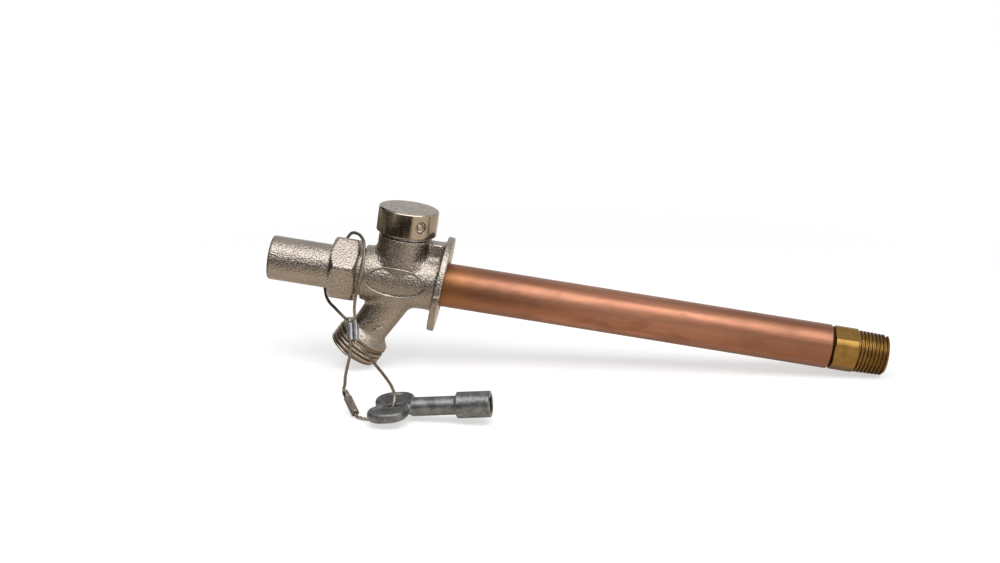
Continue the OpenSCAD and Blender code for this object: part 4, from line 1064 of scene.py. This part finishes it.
class SILLCOCK_OT_tether(bpy.types.Operator):
    """Stranded wire rope in two loops, with its crimp sleeve and knurled connector"""

    bl_idname = "sillcock.tether"
    bl_label = "Tether"

    def execute(self, context):
        s = getattr(context.scene, TETHER)
        made = finishes(context)
        route = cable_route(s)
        rope = self.rope(context, s, route, made["wire"])
        crimp = self.crimp(context, s, made["aluminium"])
        barrel = self.barrel(context, s, made["connector"])
        ferrule = self.ferrule(context, s, made["connector"])
        for piece, node, slot in ((rope, "tether_cable", "steel"),
                                  (crimp, "cable_crimp", "aluminium"),
                                  (barrel, "connector_barrel", "steel"),
                                  (ferrule, "connector_ferrule", "steel")):
            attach(piece, "tether")
            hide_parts(node)
        step = max(1, len(route) // 240)
        path = [tuple(p) for p in route[::step]] + [tuple(route[-1])]
        return {"FINISHED"}

    def rope(self, context, s, route, material):
        """Lobed rope along the route, with the depth between its strands as an attribute."""
        heading = np.gradient(route, axis=0)
        heading /= np.linalg.norm(heading, axis=1)[:, None]
        normal = np.empty_like(route)
        normal[0] = np.cross(heading[0], (0.3, 0.2, 0.9))
        normal[0] /= np.linalg.norm(normal[0])
        for i in range(1, len(route)):
            n = normal[i - 1] - heading[i] * (normal[i - 1] @ heading[i])
            normal[i] = n / np.linalg.norm(n)
        other = np.cross(heading, normal)
        run = np.concatenate(([0.0], np.cumsum(np.linalg.norm(np.diff(route, axis=0), axis=1))))
        sides = 8 * s.strands
        angle = np.arange(sides) * 2 * math.pi / sides
        lobe = np.abs(np.cos((angle[None, :] - 2 * math.pi * run[:, None] / s.lay_l) * s.strands / 2.0))
        radius = s.cable_d / 2 * (0.72 + 0.28 * np.sqrt(lobe))
        ring = normal[:, None, :] * np.cos(angle)[None, :, None]
        ring = ring + other[:, None, :] * np.sin(angle)[None, :, None]
        points = (route[:, None, :] + radius[:, :, None] * ring).reshape(-1, 3)
        last = (len(route) - 1) * sides
        faces = wrap_faces(len(route), sides)[:, ::-1].tolist()
        faces += [range(sides)[::-1], range(last, last + sides)]
        rope = new_piece(context, "wire_rope", points, faces, material, sharp=80.0)
        groove = rope.data.attributes.new("groove", "FLOAT", "POINT")
        # the groove depth paints shade between the strands in the wire finish
        groove.data.foreach_set("value", ramp(1.0 - lobe, 0.25, 0.8).ravel())
        return rope

    def crimp(self, context, s, material):
        """Double sleeve with a hole for each of the two runs of the rope."""
        hole = s.cable_d / 2 + s.cable_clear
        outer = hole + s.crimp_wall

        def distance(p):
            shape = None
            for side in (-1.0, 1.0):
                tube = bar(p, (0.0, side * s.crimp_half, -s.crimp_l / 2), Z_AXIS, s.crimp_l, outer, 0.0002)
                shape = tube if shape is None else join(shape, tube, 0.0004)
            for side in (-1.0, 1.0):
                shape = cut(shape, bar(p, (0.0, side * s.crimp_half, -0.02), Z_AXIS, 0.04, hole), 0.0002)
            return shape

        wide = outer + s.crimp_half + 0.0006
        points, quads = surface_net(distance, (-0.0025, -wide, -s.crimp_l / 2 - 0.0006),
                                    (0.0025, wide, s.crimp_l / 2 + 0.0006), 0.00012)
        return new_piece(context, "crimp_sleeve", points, quads, material, crimp_matrix(s), 50.0)

    def barrel(self, context, s, material):
        """Knurled barrel that holds one end of the rope."""
        hole = s.cable_d / 2 + s.cable_clear
        r = s.joint_d / 2
        floor = s.joint_l - s.grip_l - s.cable_clear
        profile = rounded([(s.ferrule_l, 0.0, 0), (s.ferrule_l, r - 0.0002), (s.ferrule_l + 0.0004, r),
                           (s.joint_l - 0.0003, r), (s.joint_l, r - 0.0003), (s.joint_l, hole), (floor, hole),
                           (floor, 0.0, 0)], 0.00025)
        points, faces = turned_solid(spread(profile, 0.00016, False), 120)
        piece = new_piece(context, "connector_barrel_piece", points, faces, material)
        return apply_group(context, piece, knurl_tree(), lathe_matrix(s), 50.0, From=s.ferrule_l + 0.0010,
                           To=s.joint_l - 0.0009, Radius=r - 0.00005, Ridges=s.knurl_ridges,
                           Lead=s.knurl_lead, Depth=s.knurl_depth, Material=material)

    def ferrule(self, context, s, material):
        """Crimped ferrule that holds the other end."""
        hole = s.cable_d / 2 + s.cable_clear
        r = s.joint_d / 2 - 0.00035
        profile = rounded([(s.grip_l + s.cable_clear, 0.0, 0), (s.grip_l + s.cable_clear, hole), (0.0, hole),
                           (0.0, r - 0.0001), (s.ferrule_l, r - 0.00005), (s.ferrule_l, 0.0, 0)], 0.0004)

        def dented(angle, along, radius):
            fade = ramp(along, 0.0006, 0.0014) * ramp(s.ferrule_l - along, 0.0002, 0.001)
            return radius + s.ferrule_dent * np.cos(6 * angle) * fade * (radius > hole + 0.0002)

        points, faces = turned_solid(spread(profile, 0.0003, False), 96, dented)
        return new_piece(context, "connector_ferrule_piece", points, faces, material, lathe_matrix(s), 50.0)


def node_group(name, sizes, shape=False):
    """Empty geometry tree with named inputs, and a socket for each of them."""
    group = bpy.data.node_groups.new(name, "GeometryNodeTree")
    group.is_modifier = True
    rows = group.interface
    if shape:
        rows.new_socket(name="Geometry", in_out="INPUT", socket_type="NodeSocketGeometry")
    for key, value in sizes.items():
        rows.new_socket(name=key, in_out="INPUT", socket_type="NodeSocketFloat").default_value = value
    rows.new_socket(name="Material", in_out="INPUT", socket_type="NodeSocketMaterial")
    rows.new_socket(name="Geometry", in_out="OUTPUT", socket_type="NodeSocketGeometry")
    tree = Tree(group)
    given = group.nodes.new("NodeGroupInput")
    return tree, {socket.name: Sock(tree, socket) for socket in given.outputs}


def close_group(tree, shape, material):
    """Last nodes of a geometry tree, which make its shape solid and give it a material."""
    solid = tree.node("GeometryNodeRealizeInstances", {"Geometry": shape})
    coated = tree.node("GeometryNodeSetMaterial", {"Geometry": solid, "Material": material})
    tree.node("NodeGroupOutput", {"Geometry": coated})
    return tree.tree


def knurl_tree():
    """Diamond knurl on a turned barrel, pressed along its normals between two places."""
    tree, given = node_group("knurl", {"From": 0.0, "To": 0.01, "Radius": 0.002, "Ridges": 14.0,
                                       "Lead": 900.0, "Depth": 0.0001}, True)
    at = tree.node("GeometryNodeInputPosition", {})
    x, y, z = (tree.axis(letter, at) for letter in "XYZ")
    angle = tree.math("ARCTAN2", z, y) * given["Ridges"]
    run = x * given["Lead"]
    first, second = (tree.math("ABSOLUTE", tree.math("SINE", a)) for a in (angle + run, angle - run))
    deep = tree.math("MINIMUM", first, second) * given["Depth"]
    reach = tree.math("SQRT", y * y + z * z)
    inside = tree.math("GREATER_THAN", x, given["From"]) * tree.math("LESS_THAN", x, given["To"])
    outer = inside * tree.math("GREATER_THAN", reach, given["Radius"])
    shift = (deep - given["Depth"]) * outer
    normal = tree.node("GeometryNodeInputNormal", {})
    move = tree.node("ShaderNodeVectorMath", {0: normal, "Scale": shift}, operation="SCALE")
    moved = tree.node("GeometryNodeSetPosition", {"Geometry": given["Geometry"], "Offset": move})
    return close_group(tree, moved, given["Material"])


def thread_tree():
    """One helical ridge of round section about the Z axis."""
    tree, given = node_group("helical_thread", {"Start Radius": 0.01, "End Radius": 0.01, "Length": 0.01,
                                                "Turns": 4.0, "Ridge": 0.0007})
    spiral = tree.node("GeometryNodeCurveSpiral", {
        "Resolution": 96, "Rotations": given["Turns"], "Start Radius": given["Start Radius"],
        "End Radius": given["End Radius"], "Height": given["Length"], "Reverse": False})
    section = tree.node("GeometryNodeCurvePrimitiveCircle", {"Resolution": 14, "Radius": given["Ridge"]})
    ridge = tree.node("GeometryNodeCurveToMesh",
                      {"Curve": spiral, "Profile Curve": section, "Fill Caps": True})
    return close_group(tree, ridge, given["Material"])


def apply_group(context, obj, group, matrix, sharp, **values):
    """Runs a geometry tree on an object with its inputs set, and keeps the plain mesh, placed."""
    tool = obj.modifiers.new(group.name, "NODES")
    tool.node_group = group
    for item in group.interface.items_tree:
        if item.in_out == "INPUT" and item.socket_type != "NodeSocketGeometry":
            tool[item.identifier] = values[item.name.replace(" ", "_")]
    mesh = to_plain_mesh(context, obj)
    mesh.transform(matrix)
    smooth(mesh, sharp)
    return obj


def helical_thread(context, name, matrix, material, **values):
    """One thread ridge, placed by the matrix."""
    group = bpy.data.node_groups.get("helical_thread") or thread_tree()
    obj = bpy.data.objects.new(name, bpy.data.meshes.new(name))
    context.scene.collection.objects.link(obj)
    return apply_group(context, obj, group, matrix, 60.0, Material=material, **values)


class SILLCOCK_OT_head(bpy.types.Operator):
    """Sand-cast head with its filleted barrel, housing, rib, flange and spout, and the hose thread"""

    bl_idname = "sillcock.head"
    bl_label = "Head casting"

    def execute(self, context):
        s = getattr(context.scene, HEAD)
        made = finishes(context)
        root, down = spout_axis(s)
        tip = root + down * s.hose_top
        low = (tip[0] - 0.0135, -s.flange_d / 2 - 0.001, tip[2] - 0.0085)
        high = (0.004, s.flange_d / 2 + 0.001, s.neck_z + 0.001)
        coarse = 1.0
        points, quads = surface_net(casting_distance(s), low, high, s.grid * coarse)
        casting = new_piece(context, "cast_head", points, quads, made["nickel_casting"], sharp=48.0)
        angle = np.linspace(0.0, 2 * math.pi, 180, endpoint=False)
        points, faces = self.bead(s, -s.oval_x + s.oval_w / 2 * np.cos(angle),
                                  s.oval_z + s.oval_h / 2 * np.sin(angle), s.oval_rim, s.oval_raise, True)
        oval = new_piece(context, "oval_rim", points, faces, made["nickel_casting"], sharp=60.0)
        line = np.linspace(np.array(s.mark_from), np.array(s.mark_to), 24)
        points, faces = self.bead(s, line[:, 0], line[:, 2], s.mark_rim, s.mark_raise, False)
        mark = new_piece(context, "mould_mark", points, faces, made["nickel_casting"], sharp=60.0)
        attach(casting, "body")
        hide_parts("head_casting")
        core = s.hose_d / 2 - s.hose_depth
        along = s.hose_top - 0.0006
        inner = s.spout_l - s.mouth_l
        bore, mouth = s.spout_bore / 2, s.mouth_d / 2
        profile = rounded([(along, bore + 0.0002, 0), (along, core, 0), (s.spout_l, core, 0.0004),
                           (s.spout_l, mouth, 0.0003), (inner, mouth), (inner, bore)], 0.0003)
        points, faces = turned_ring(spread(profile, 0.0006), 144)
        towards = aim_matrix(root, down)
        end = new_piece(context, "spout_end", points, faces, made["nickel_thread"], towards)
        ridge = s.hose_pitch * 0.36
        turns = (s.spout_l - s.hose_top - 0.0012) / s.hose_pitch
        upright = towards @ Matrix.Rotation(math.pi / 2, 4, "Y")
        upright = upright @ Matrix.Translation((0.0, 0.0, s.hose_top + 0.0007))
        thread = helical_thread(context, "hose_thread", upright, made["nickel_thread"],
                                Start_Radius=s.hose_d / 2 - ridge, End_Radius=s.hose_d / 2 - ridge,
                                Length=turns * s.hose_pitch, Turns=turns, Ridge=ridge)
        for piece in (end, thread, oval, mark):
            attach(piece, "body")
        return {"FINISHED"}

    def bead(self, s, x, z, wide, high, closed):
        """Raised line on the near side of the casting along a path given from the side."""
        distance = casting_distance(s)
        in_front = -0.03
        path = np.stack((x, np.full_like(x, in_front), z), 1)
        for _ in range(60):
            path[:, 1] += np.maximum(distance(path), 0.0) * 0.9
        step = 0.0002
        out = np.stack([distance(path + step * e) - distance(path - step * e) for e in np.eye(3)], 1)
        out /= np.linalg.norm(out, axis=1)[:, None]
        ahead = np.roll(path, -1, 0) - np.roll(path, 1, 0) if closed else np.gradient(path, axis=0)
        ahead /= np.linalg.norm(ahead, axis=1)[:, None]
        side = np.cross(out, ahead)
        sides = 14
        turns = np.arange(sides) * 2 * math.pi / sides
        size = np.ones(len(x))
        if not closed:
            size = np.sqrt(np.clip(1.0 - np.linspace(-1.0, 1.0, len(x)) ** 2, 0.02, 1.0))
        ring = side[:, None, :] * (wide / 2 * np.cos(turns))[None, :, None]
        ring = ring + out[:, None, :] * (high * np.sin(turns))[None, :, None]
        points = (path[:, None, :] + ring * size[:, None, None]).reshape(-1, 3)
        faces = wrap_faces(len(x), sides, closed).tolist()
        if not closed:
            last = (len(x) - 1) * sides
            faces += [range(sides), range(last, last + sides)[::-1]]
        return points, faces


class SILLCOCK_OT_bonnet(bpy.types.Operator):
    """Lock shield with its hexagon, neck and spigot"""

    bl_idname = "sillcock.bonnet"
    bl_label = "Lock shield bonnet"

    def execute(self, context):
        s = getattr(context.scene, LINE)
        made = finishes(context)
        r = s.shield_d / 2
        peak = s.hex_af / math.sqrt(3.0) - 0.0003
        face = s.hex_af / 2 - 0.0003
        neck = s.bonnet_neck_d / 2
        spigot = s.spigot_d / 2 - 0.0003
        bore, nut, land = s.shield_bore / 2, s.nut_bore / 2, s.land_bore / 2
        profile = rounded([
            (s.shield_x0, bore, 0.0005), (s.shield_x0, r, 0.0011), (s.hex_x0, r, 0.0012),
            (s.hex_x0, face, 0.0005), (s.hex_x0 + s.hex_bevel0, peak, 0.0008),
            (s.hex_x1 - s.hex_bevel1, peak, 0.0006), (s.hex_x1, face, 0.0004), (s.hex_x1, neck, 0.0006),
            (s.bonnet_face, neck, 0.0002), (s.bonnet_face, spigot, 0.0002), (s.spigot_x1, spigot, 0.0005),
            (s.spigot_x1, land, 0.0002), (s.nut_x1, land, 0), (s.nut_x1, nut, 0),
            (s.shield_floor, nut, 0.0003), (s.shield_floor, bore, 0.0003)], 0.0)
        flats = hexagon(s.hex_af, s.hex_turn)

        def shape(angle, along, radius):
            middle = (along > s.hex_x0 - 1e-6) & (along < s.hex_x1 + 1e-6)
            cut_flat = join(radius, flats(angle) + 0.0 * along, 0.0005)
            return np.where(middle & (radius > s.hex_af / 2 - 0.0012), cut_flat, radius)

        points, faces = turned_ring(spread(profile, 0.0007), 240, shape)
        bonnet = new_piece(context, "bonnet", points, faces, made["nickel_shield"], sharp=38.0)
        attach(bonnet, "body")
        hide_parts("lock_shield_bonnet")
        return {"FINISHED"}


class SILLCOCK_OT_cap(bpy.types.Operator):
    """Turned breaker cap and its break-off set screw"""

    bl_idname = "sillcock.cap"
    bl_label = "Breaker cap"

    def execute(self, context):
        s = getattr(context.scene, HEAD)
        made = finishes(context)
        r = s.cap_d / 2
        inner = r - s.cap_wall
        roof = s.cap_z1 - s.cap_top_t
        bevel_in = 0.7 * s.cap_bevel
        profile = [(roof, 0.0, 0), (roof, inner, 0.0005), (s.cap_z0, inner, 0.0002), (s.cap_z0, r, 0.0004),
                   (s.cap_z1 - s.cap_bevel, r, 0.0003), (s.cap_z1, r - bevel_in, 0.0003)]
        profile += [(s.cap_z1, r * k / 8.0, 0) for k in range(7, -1, -1)]
        points, faces = turned_solid(rounded(profile, 0.0, 6), 200)
        upright = Matrix.Translation((-s.breaker_x, 0.0, 0.0)) @ Matrix.Rotation(-math.pi / 2, 4, "Y")
        cap = new_piece(context, "breaker_cap", points, faces, made["nickel_polished"], upright, 50.0)
        axis = Vector((math.sin(s.screw_angle), -math.cos(s.screw_angle), 0.0))
        inward = aim_matrix((-s.breaker_x, 0.0, s.screw_z), axis)
        neck, wide = s.neck_d / 2, s.screw_d / 2
        hole = rounded([(neck + 0.0005, 0.0, 0), (neck + 0.0005, wide + 0.00003, 0),
                        (r - 0.0004, wide + 0.00003, 0), (r + 0.0004, wide + 0.0006, 0),
                        (r + 0.004, wide + 0.0006, 0), (r + 0.004, 0.0, 0)], 0.0)
        points, faces = turned_solid(hole, 64)
        drill = new_piece(context, "drill", points, faces, made["nickel_polished"], inward)
        tool = cap.modifiers.new("hole", "BOOLEAN")
        tool.operation = "DIFFERENCE"
        tool.solver = "EXACT"
        tool.object = drill
        mesh = to_plain_mesh(context, cap)
        bpy.data.objects.remove(drill)
        smooth(mesh, 40.0)
        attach(cap, "body")
        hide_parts("vacuum_breaker_cap")
        out = r - 0.0009
        tip = neck - 0.0009
        stub = rounded([(tip, 0.0, 0), (tip, 0.0011, 0.0002), (neck + 0.0003, 0.0011, 0),
                        (neck + 0.0003, wide, 0.0002), (out, wide, 0.0005),
                        (out - 0.0005, wide * 0.62, 0.0003), (out + 0.0002, wide * 0.40, 0.0004),
                        (out + 0.0003, 0.0, 0)], 0.0)
        points, faces = turned_solid(stub, 72)
        screw = new_piece(context, "set_screw", points, faces, made["screw"], inward, 50.0)
        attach(screw, "body")
        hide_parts("cap_set_screw")
        return {"FINISHED"}


class SILLCOCK_OT_tube(bpy.types.Operator):
    """Drawn copper tube"""

    bl_idname = "sillcock.tube"
    bl_label = "Copper tube"

    def execute(self, context):
        s = getattr(context.scene, LINE)
        made = finishes(context)
        r = s.tube_d / 2
        bore = r - s.tube_wall
        profile = rounded([(s.tube_x0, bore, 0.0002), (s.tube_x0, r, 0.0002), (s.tube_x1, r, 0.0005),
                           (s.tube_x1, bore, 0.0002)], 0.0)
        points, faces = turned_ring(spread(profile, 0.006), 192)
        tube = new_piece(context, "drawn_tube", points, faces, made["copper"], sharp=50.0)
        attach(tube, "body")
        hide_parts("copper_tube")
        return {"FINISHED"}


class SILLCOCK_OT_inlet(bpy.types.Operator):
    """Brass inlet with its turned hexagon, solder socket and tapered pipe thread"""

    bl_idname = "sillcock.inlet"
    bl_label = "Inlet fitting"

    def execute(self, context):
        s = getattr(context.scene, LINE)
        made = finishes(context)
        tube_r = s.tube_d / 2
        spigot = tube_r - s.tube_wall - 0.00003
        face = s.inlet_af / 2 - 0.0001
        core0, core1 = s.pipe_d0 / 2 - s.pipe_depth, s.pipe_d1 / 2 - s.pipe_depth
        bore, seat = s.inlet_bore / 2, s.seat_bore / 2
        profile = rounded([
            (s.inlet_x0, spigot, 0.0003), (s.inlet_hex_x0, spigot, 0), (s.inlet_hex_x0, face, 0.0003),
            (s.inlet_hex_x0 + 0.0005, tube_r, 0.0003), (s.inlet_hex_x1 - 0.0005, tube_r, 0.0003),
            (s.inlet_hex_x1, face, 0.0003), (s.inlet_hex_x1, core0, 0.0003), (s.inlet_x1, core1, 0.0006),
            (s.inlet_x1, bore, 0.0004), (s.inlet_x1 - s.inlet_bore_l, bore, 0.0002),
            (s.inlet_x1 - s.inlet_bore_l, seat, 0.0002), (s.seat_x, seat, 0.0003),
            (s.seat_x, seat + 0.0012, 0.0003), (s.seat_x + 0.0013, seat + 0.0012, 0),
            (s.seat_x + 0.0013, s.fitting_bore / 2, 0.0002),
            (s.inlet_x0, s.fitting_bore / 2, 0.0002)], 0.0)
        flats = hexagon(s.inlet_af, s.inlet_turn)

        def shape(angle, along, radius):
            middle = (along > s.inlet_hex_x0 - 1e-6) & (along < s.inlet_hex_x1 + 1e-6)
            return np.where(middle & (radius > face - 0.0003), np.minimum(radius, flats(angle)), radius)

        points, faces = turned_ring(spread(profile, 0.0007), 240, shape)
        inlet = new_piece(context, "brass_inlet", points, faces, made["brass_inlet"], sharp=20.0)
        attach(inlet, "body")
        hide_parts("inlet_fitting")
        ridge = s.pipe_pitch * 0.36
        start = s.inlet_hex_x1 + 0.0007
        turns = (s.inlet_x1 - start - 0.0009) / s.pipe_pitch
        upright = Matrix.Translation((start, 0.0, 0.0)) @ Matrix.Rotation(math.pi / 2, 4, "Y")
        thread = helical_thread(context, "pipe_thread", upright, made["brass_thread"],
                                Start_Radius=s.pipe_d0 / 2 - ridge, End_Radius=s.pipe_d1 / 2 - ridge,
                                Length=turns * s.pipe_pitch, Turns=turns, Ridge=ridge)
        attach(thread, "body")
        return {"FINISHED"}


class SILLCOCK_OT_key(bpy.types.Operator):
    """Die-cast loose key with its rimmed bow, shaft and square socket"""

    bl_idname = "sillcock.key"
    bl_label = "Loose key"

    def execute(self, context):
        s = getattr(context.scene, TETHER)
        made = finishes(context)
        matrix = frame_matrix(s.key_at, (-s.key_tilt, "Y"), (s.key_yaw, "Z"), (-s.key_rise, "Y")) \
            @ Matrix.Translation((-s.slot_u, 0.0, 0.0))
        low = (-0.001, -s.bow_w / 2 - 0.001, -s.socket_d / 2 - 0.001)
        high = (s.key_l + 0.001, s.bow_w / 2 + 0.001, s.socket_d / 2 + 0.001)
        coarse = 1.0
        points, quads = surface_net(self.distance(s), low, high, s.grid * coarse)
        key = new_piece(context, "key", points, quads, made["zinc"], matrix, 48.0)
        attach(key, "key")
        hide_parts("loose_key")
        return {"FINISHED"}

    def distance(self, s):
        """Distance function of the key in its own frame: u along it, v across its bow, w through it."""
        wing_v = s.bow_w / 2 - s.wing_r

        def outline(u, v):
            side = np.hypot(np.maximum(np.abs(u - s.bow_l / 2) - (s.bow_l / 2 - s.wing_r), 0.0),
                            np.abs(v) - wing_v) - s.wing_r
            qu, qv = np.abs(u - (s.bow_l + 0.001) / 2) - (s.bow_l - 0.001) / 2, np.abs(v) - wing_v
            middle = np.hypot(np.maximum(qu, 0.0), np.maximum(qv, 0.0)) + np.minimum(np.maximum(qu, qv), 0.0)
            notch = np.hypot(u - s.notch_l + s.notch_r, v) - s.notch_r
            return cut(join(side, middle, 0.0012), notch, 0.0016)

        def distance(p):
            u, v, w = p.T
            flat = outline(u, v)
            rim = (np.hypot((flat + s.rim_w / 2) / (s.rim_w / 2), w / (s.rim_t / 2)) - 1.0) * s.rim_w * 0.45
            web = np.maximum(np.abs(w) - s.web_t / 2, flat + s.rim_w / 2)
            solid = join(rim, web, 0.0010)
            rho = np.hypot(v, w)
            throat = s.bow_l - s.rim_w
            shoulder = s.key_l - s.socket_l
            taper = np.clip((u - throat) / 0.0034, 0.0, 1.0)
            shaft = rho - (s.rim_t / 2 + (s.shaft_d / 2 - s.rim_t / 2) * taper)
            shaft = np.maximum(shaft, np.maximum(throat - u, u - s.key_l + 0.002)) * 0.9
            back = (shoulder - 0.0010, 0.0, 0.0)
            socket = bar(p, back, X_AXIS, s.socket_l + 0.0010, s.socket_d / 2, 0.0007)
            solid = join(join(solid, shaft, 0.0016), socket, 0.0007)
            beyond = np.maximum(np.abs(u - s.slot_u) - (s.slot_l - s.slot_w) / 2, 0.0)
            solid = cut(solid, np.hypot(beyond, v) - s.slot_w / 2, 0.0005)
            hole = block(p, (s.key_l, 0.0, 0.0), (s.square_l, s.square / 2, s.square / 2), 0.0002)
            return cut(solid, hole, 0.0003)

        return distance


class SILLCOCK_OT_insides(bpy.types.Operator):
    """Finishes of the pieces that keep their frame shape: stem, rod, valve disc, breaker and seals"""

    bl_idname = "sillcock.insides"
    bl_label = "Inside pieces"

    def execute(self, context):
        made = finishes(context)
        slots = {item["node"]: item["material_slot"] for item in frame["record"]["subparts"]}
        for name, obj in frame["nodes"].items():
            if name not in slots:
                raise RuntimeError(name + " has no finish")
            obj.data.materials.clear()
            obj.data.materials.append(made[slots[name]])
        return {"FINISHED"}


class SILLCOCK_PT_panel(bpy.types.Panel):
    """Buttons that build the sillcock piece by piece"""

    bl_idname = "SILLCOCK_PT_panel"
    bl_label = "Frost free sillcock"
    bl_space_type = "VIEW_3D"
    bl_region_type = "UI"
    bl_category = "Sillcock"

    def draw(self, context):
        for maker in MAKERS:
            self.layout.operator(maker.bl_idname)


MAKERS = (SILLCOCK_OT_stage, SILLCOCK_OT_tether, SILLCOCK_OT_head, SILLCOCK_OT_bonnet, SILLCOCK_OT_cap,
          SILLCOCK_OT_tube, SILLCOCK_OT_inlet, SILLCOCK_OT_key, SILLCOCK_OT_insides)
GROUPS = ((HEAD, SillcockHeadSizes), (LINE, SillcockLineSizes), (TETHER, SillcockTetherSizes),
          (LOOKS, SillcockLooks), (STAGE, SillcockStage))


def register():
    for name, group in GROUPS:
        bpy.utils.register_class(group)
        setattr(bpy.types.Scene, name, PointerProperty(type=group))
    for maker in MAKERS:
        bpy.utils.register_class(maker)
    bpy.utils.register_class(SILLCOCK_PT_panel)


def unregister():
    bpy.utils.unregister_class(SILLCOCK_PT_panel)
    for maker in reversed(MAKERS):
        bpy.utils.unregister_class(maker)
    for name, group in reversed(GROUPS):
        delattr(bpy.types.Scene, name)
        bpy.utils.unregister_class(group)


def main():
    register()
    bpy.ops.sillcock.stage()
    bpy.ops.sillcock.tether()
    bpy.ops.sillcock.head()
    bpy.ops.sillcock.bonnet()
    bpy.ops.sillcock.cap()
    bpy.ops.sillcock.tube()
    bpy.ops.sillcock.inlet()
    bpy.ops.sillcock.key()
    bpy.ops.sillcock.insides()


if __name__ == "__main__":
    main()
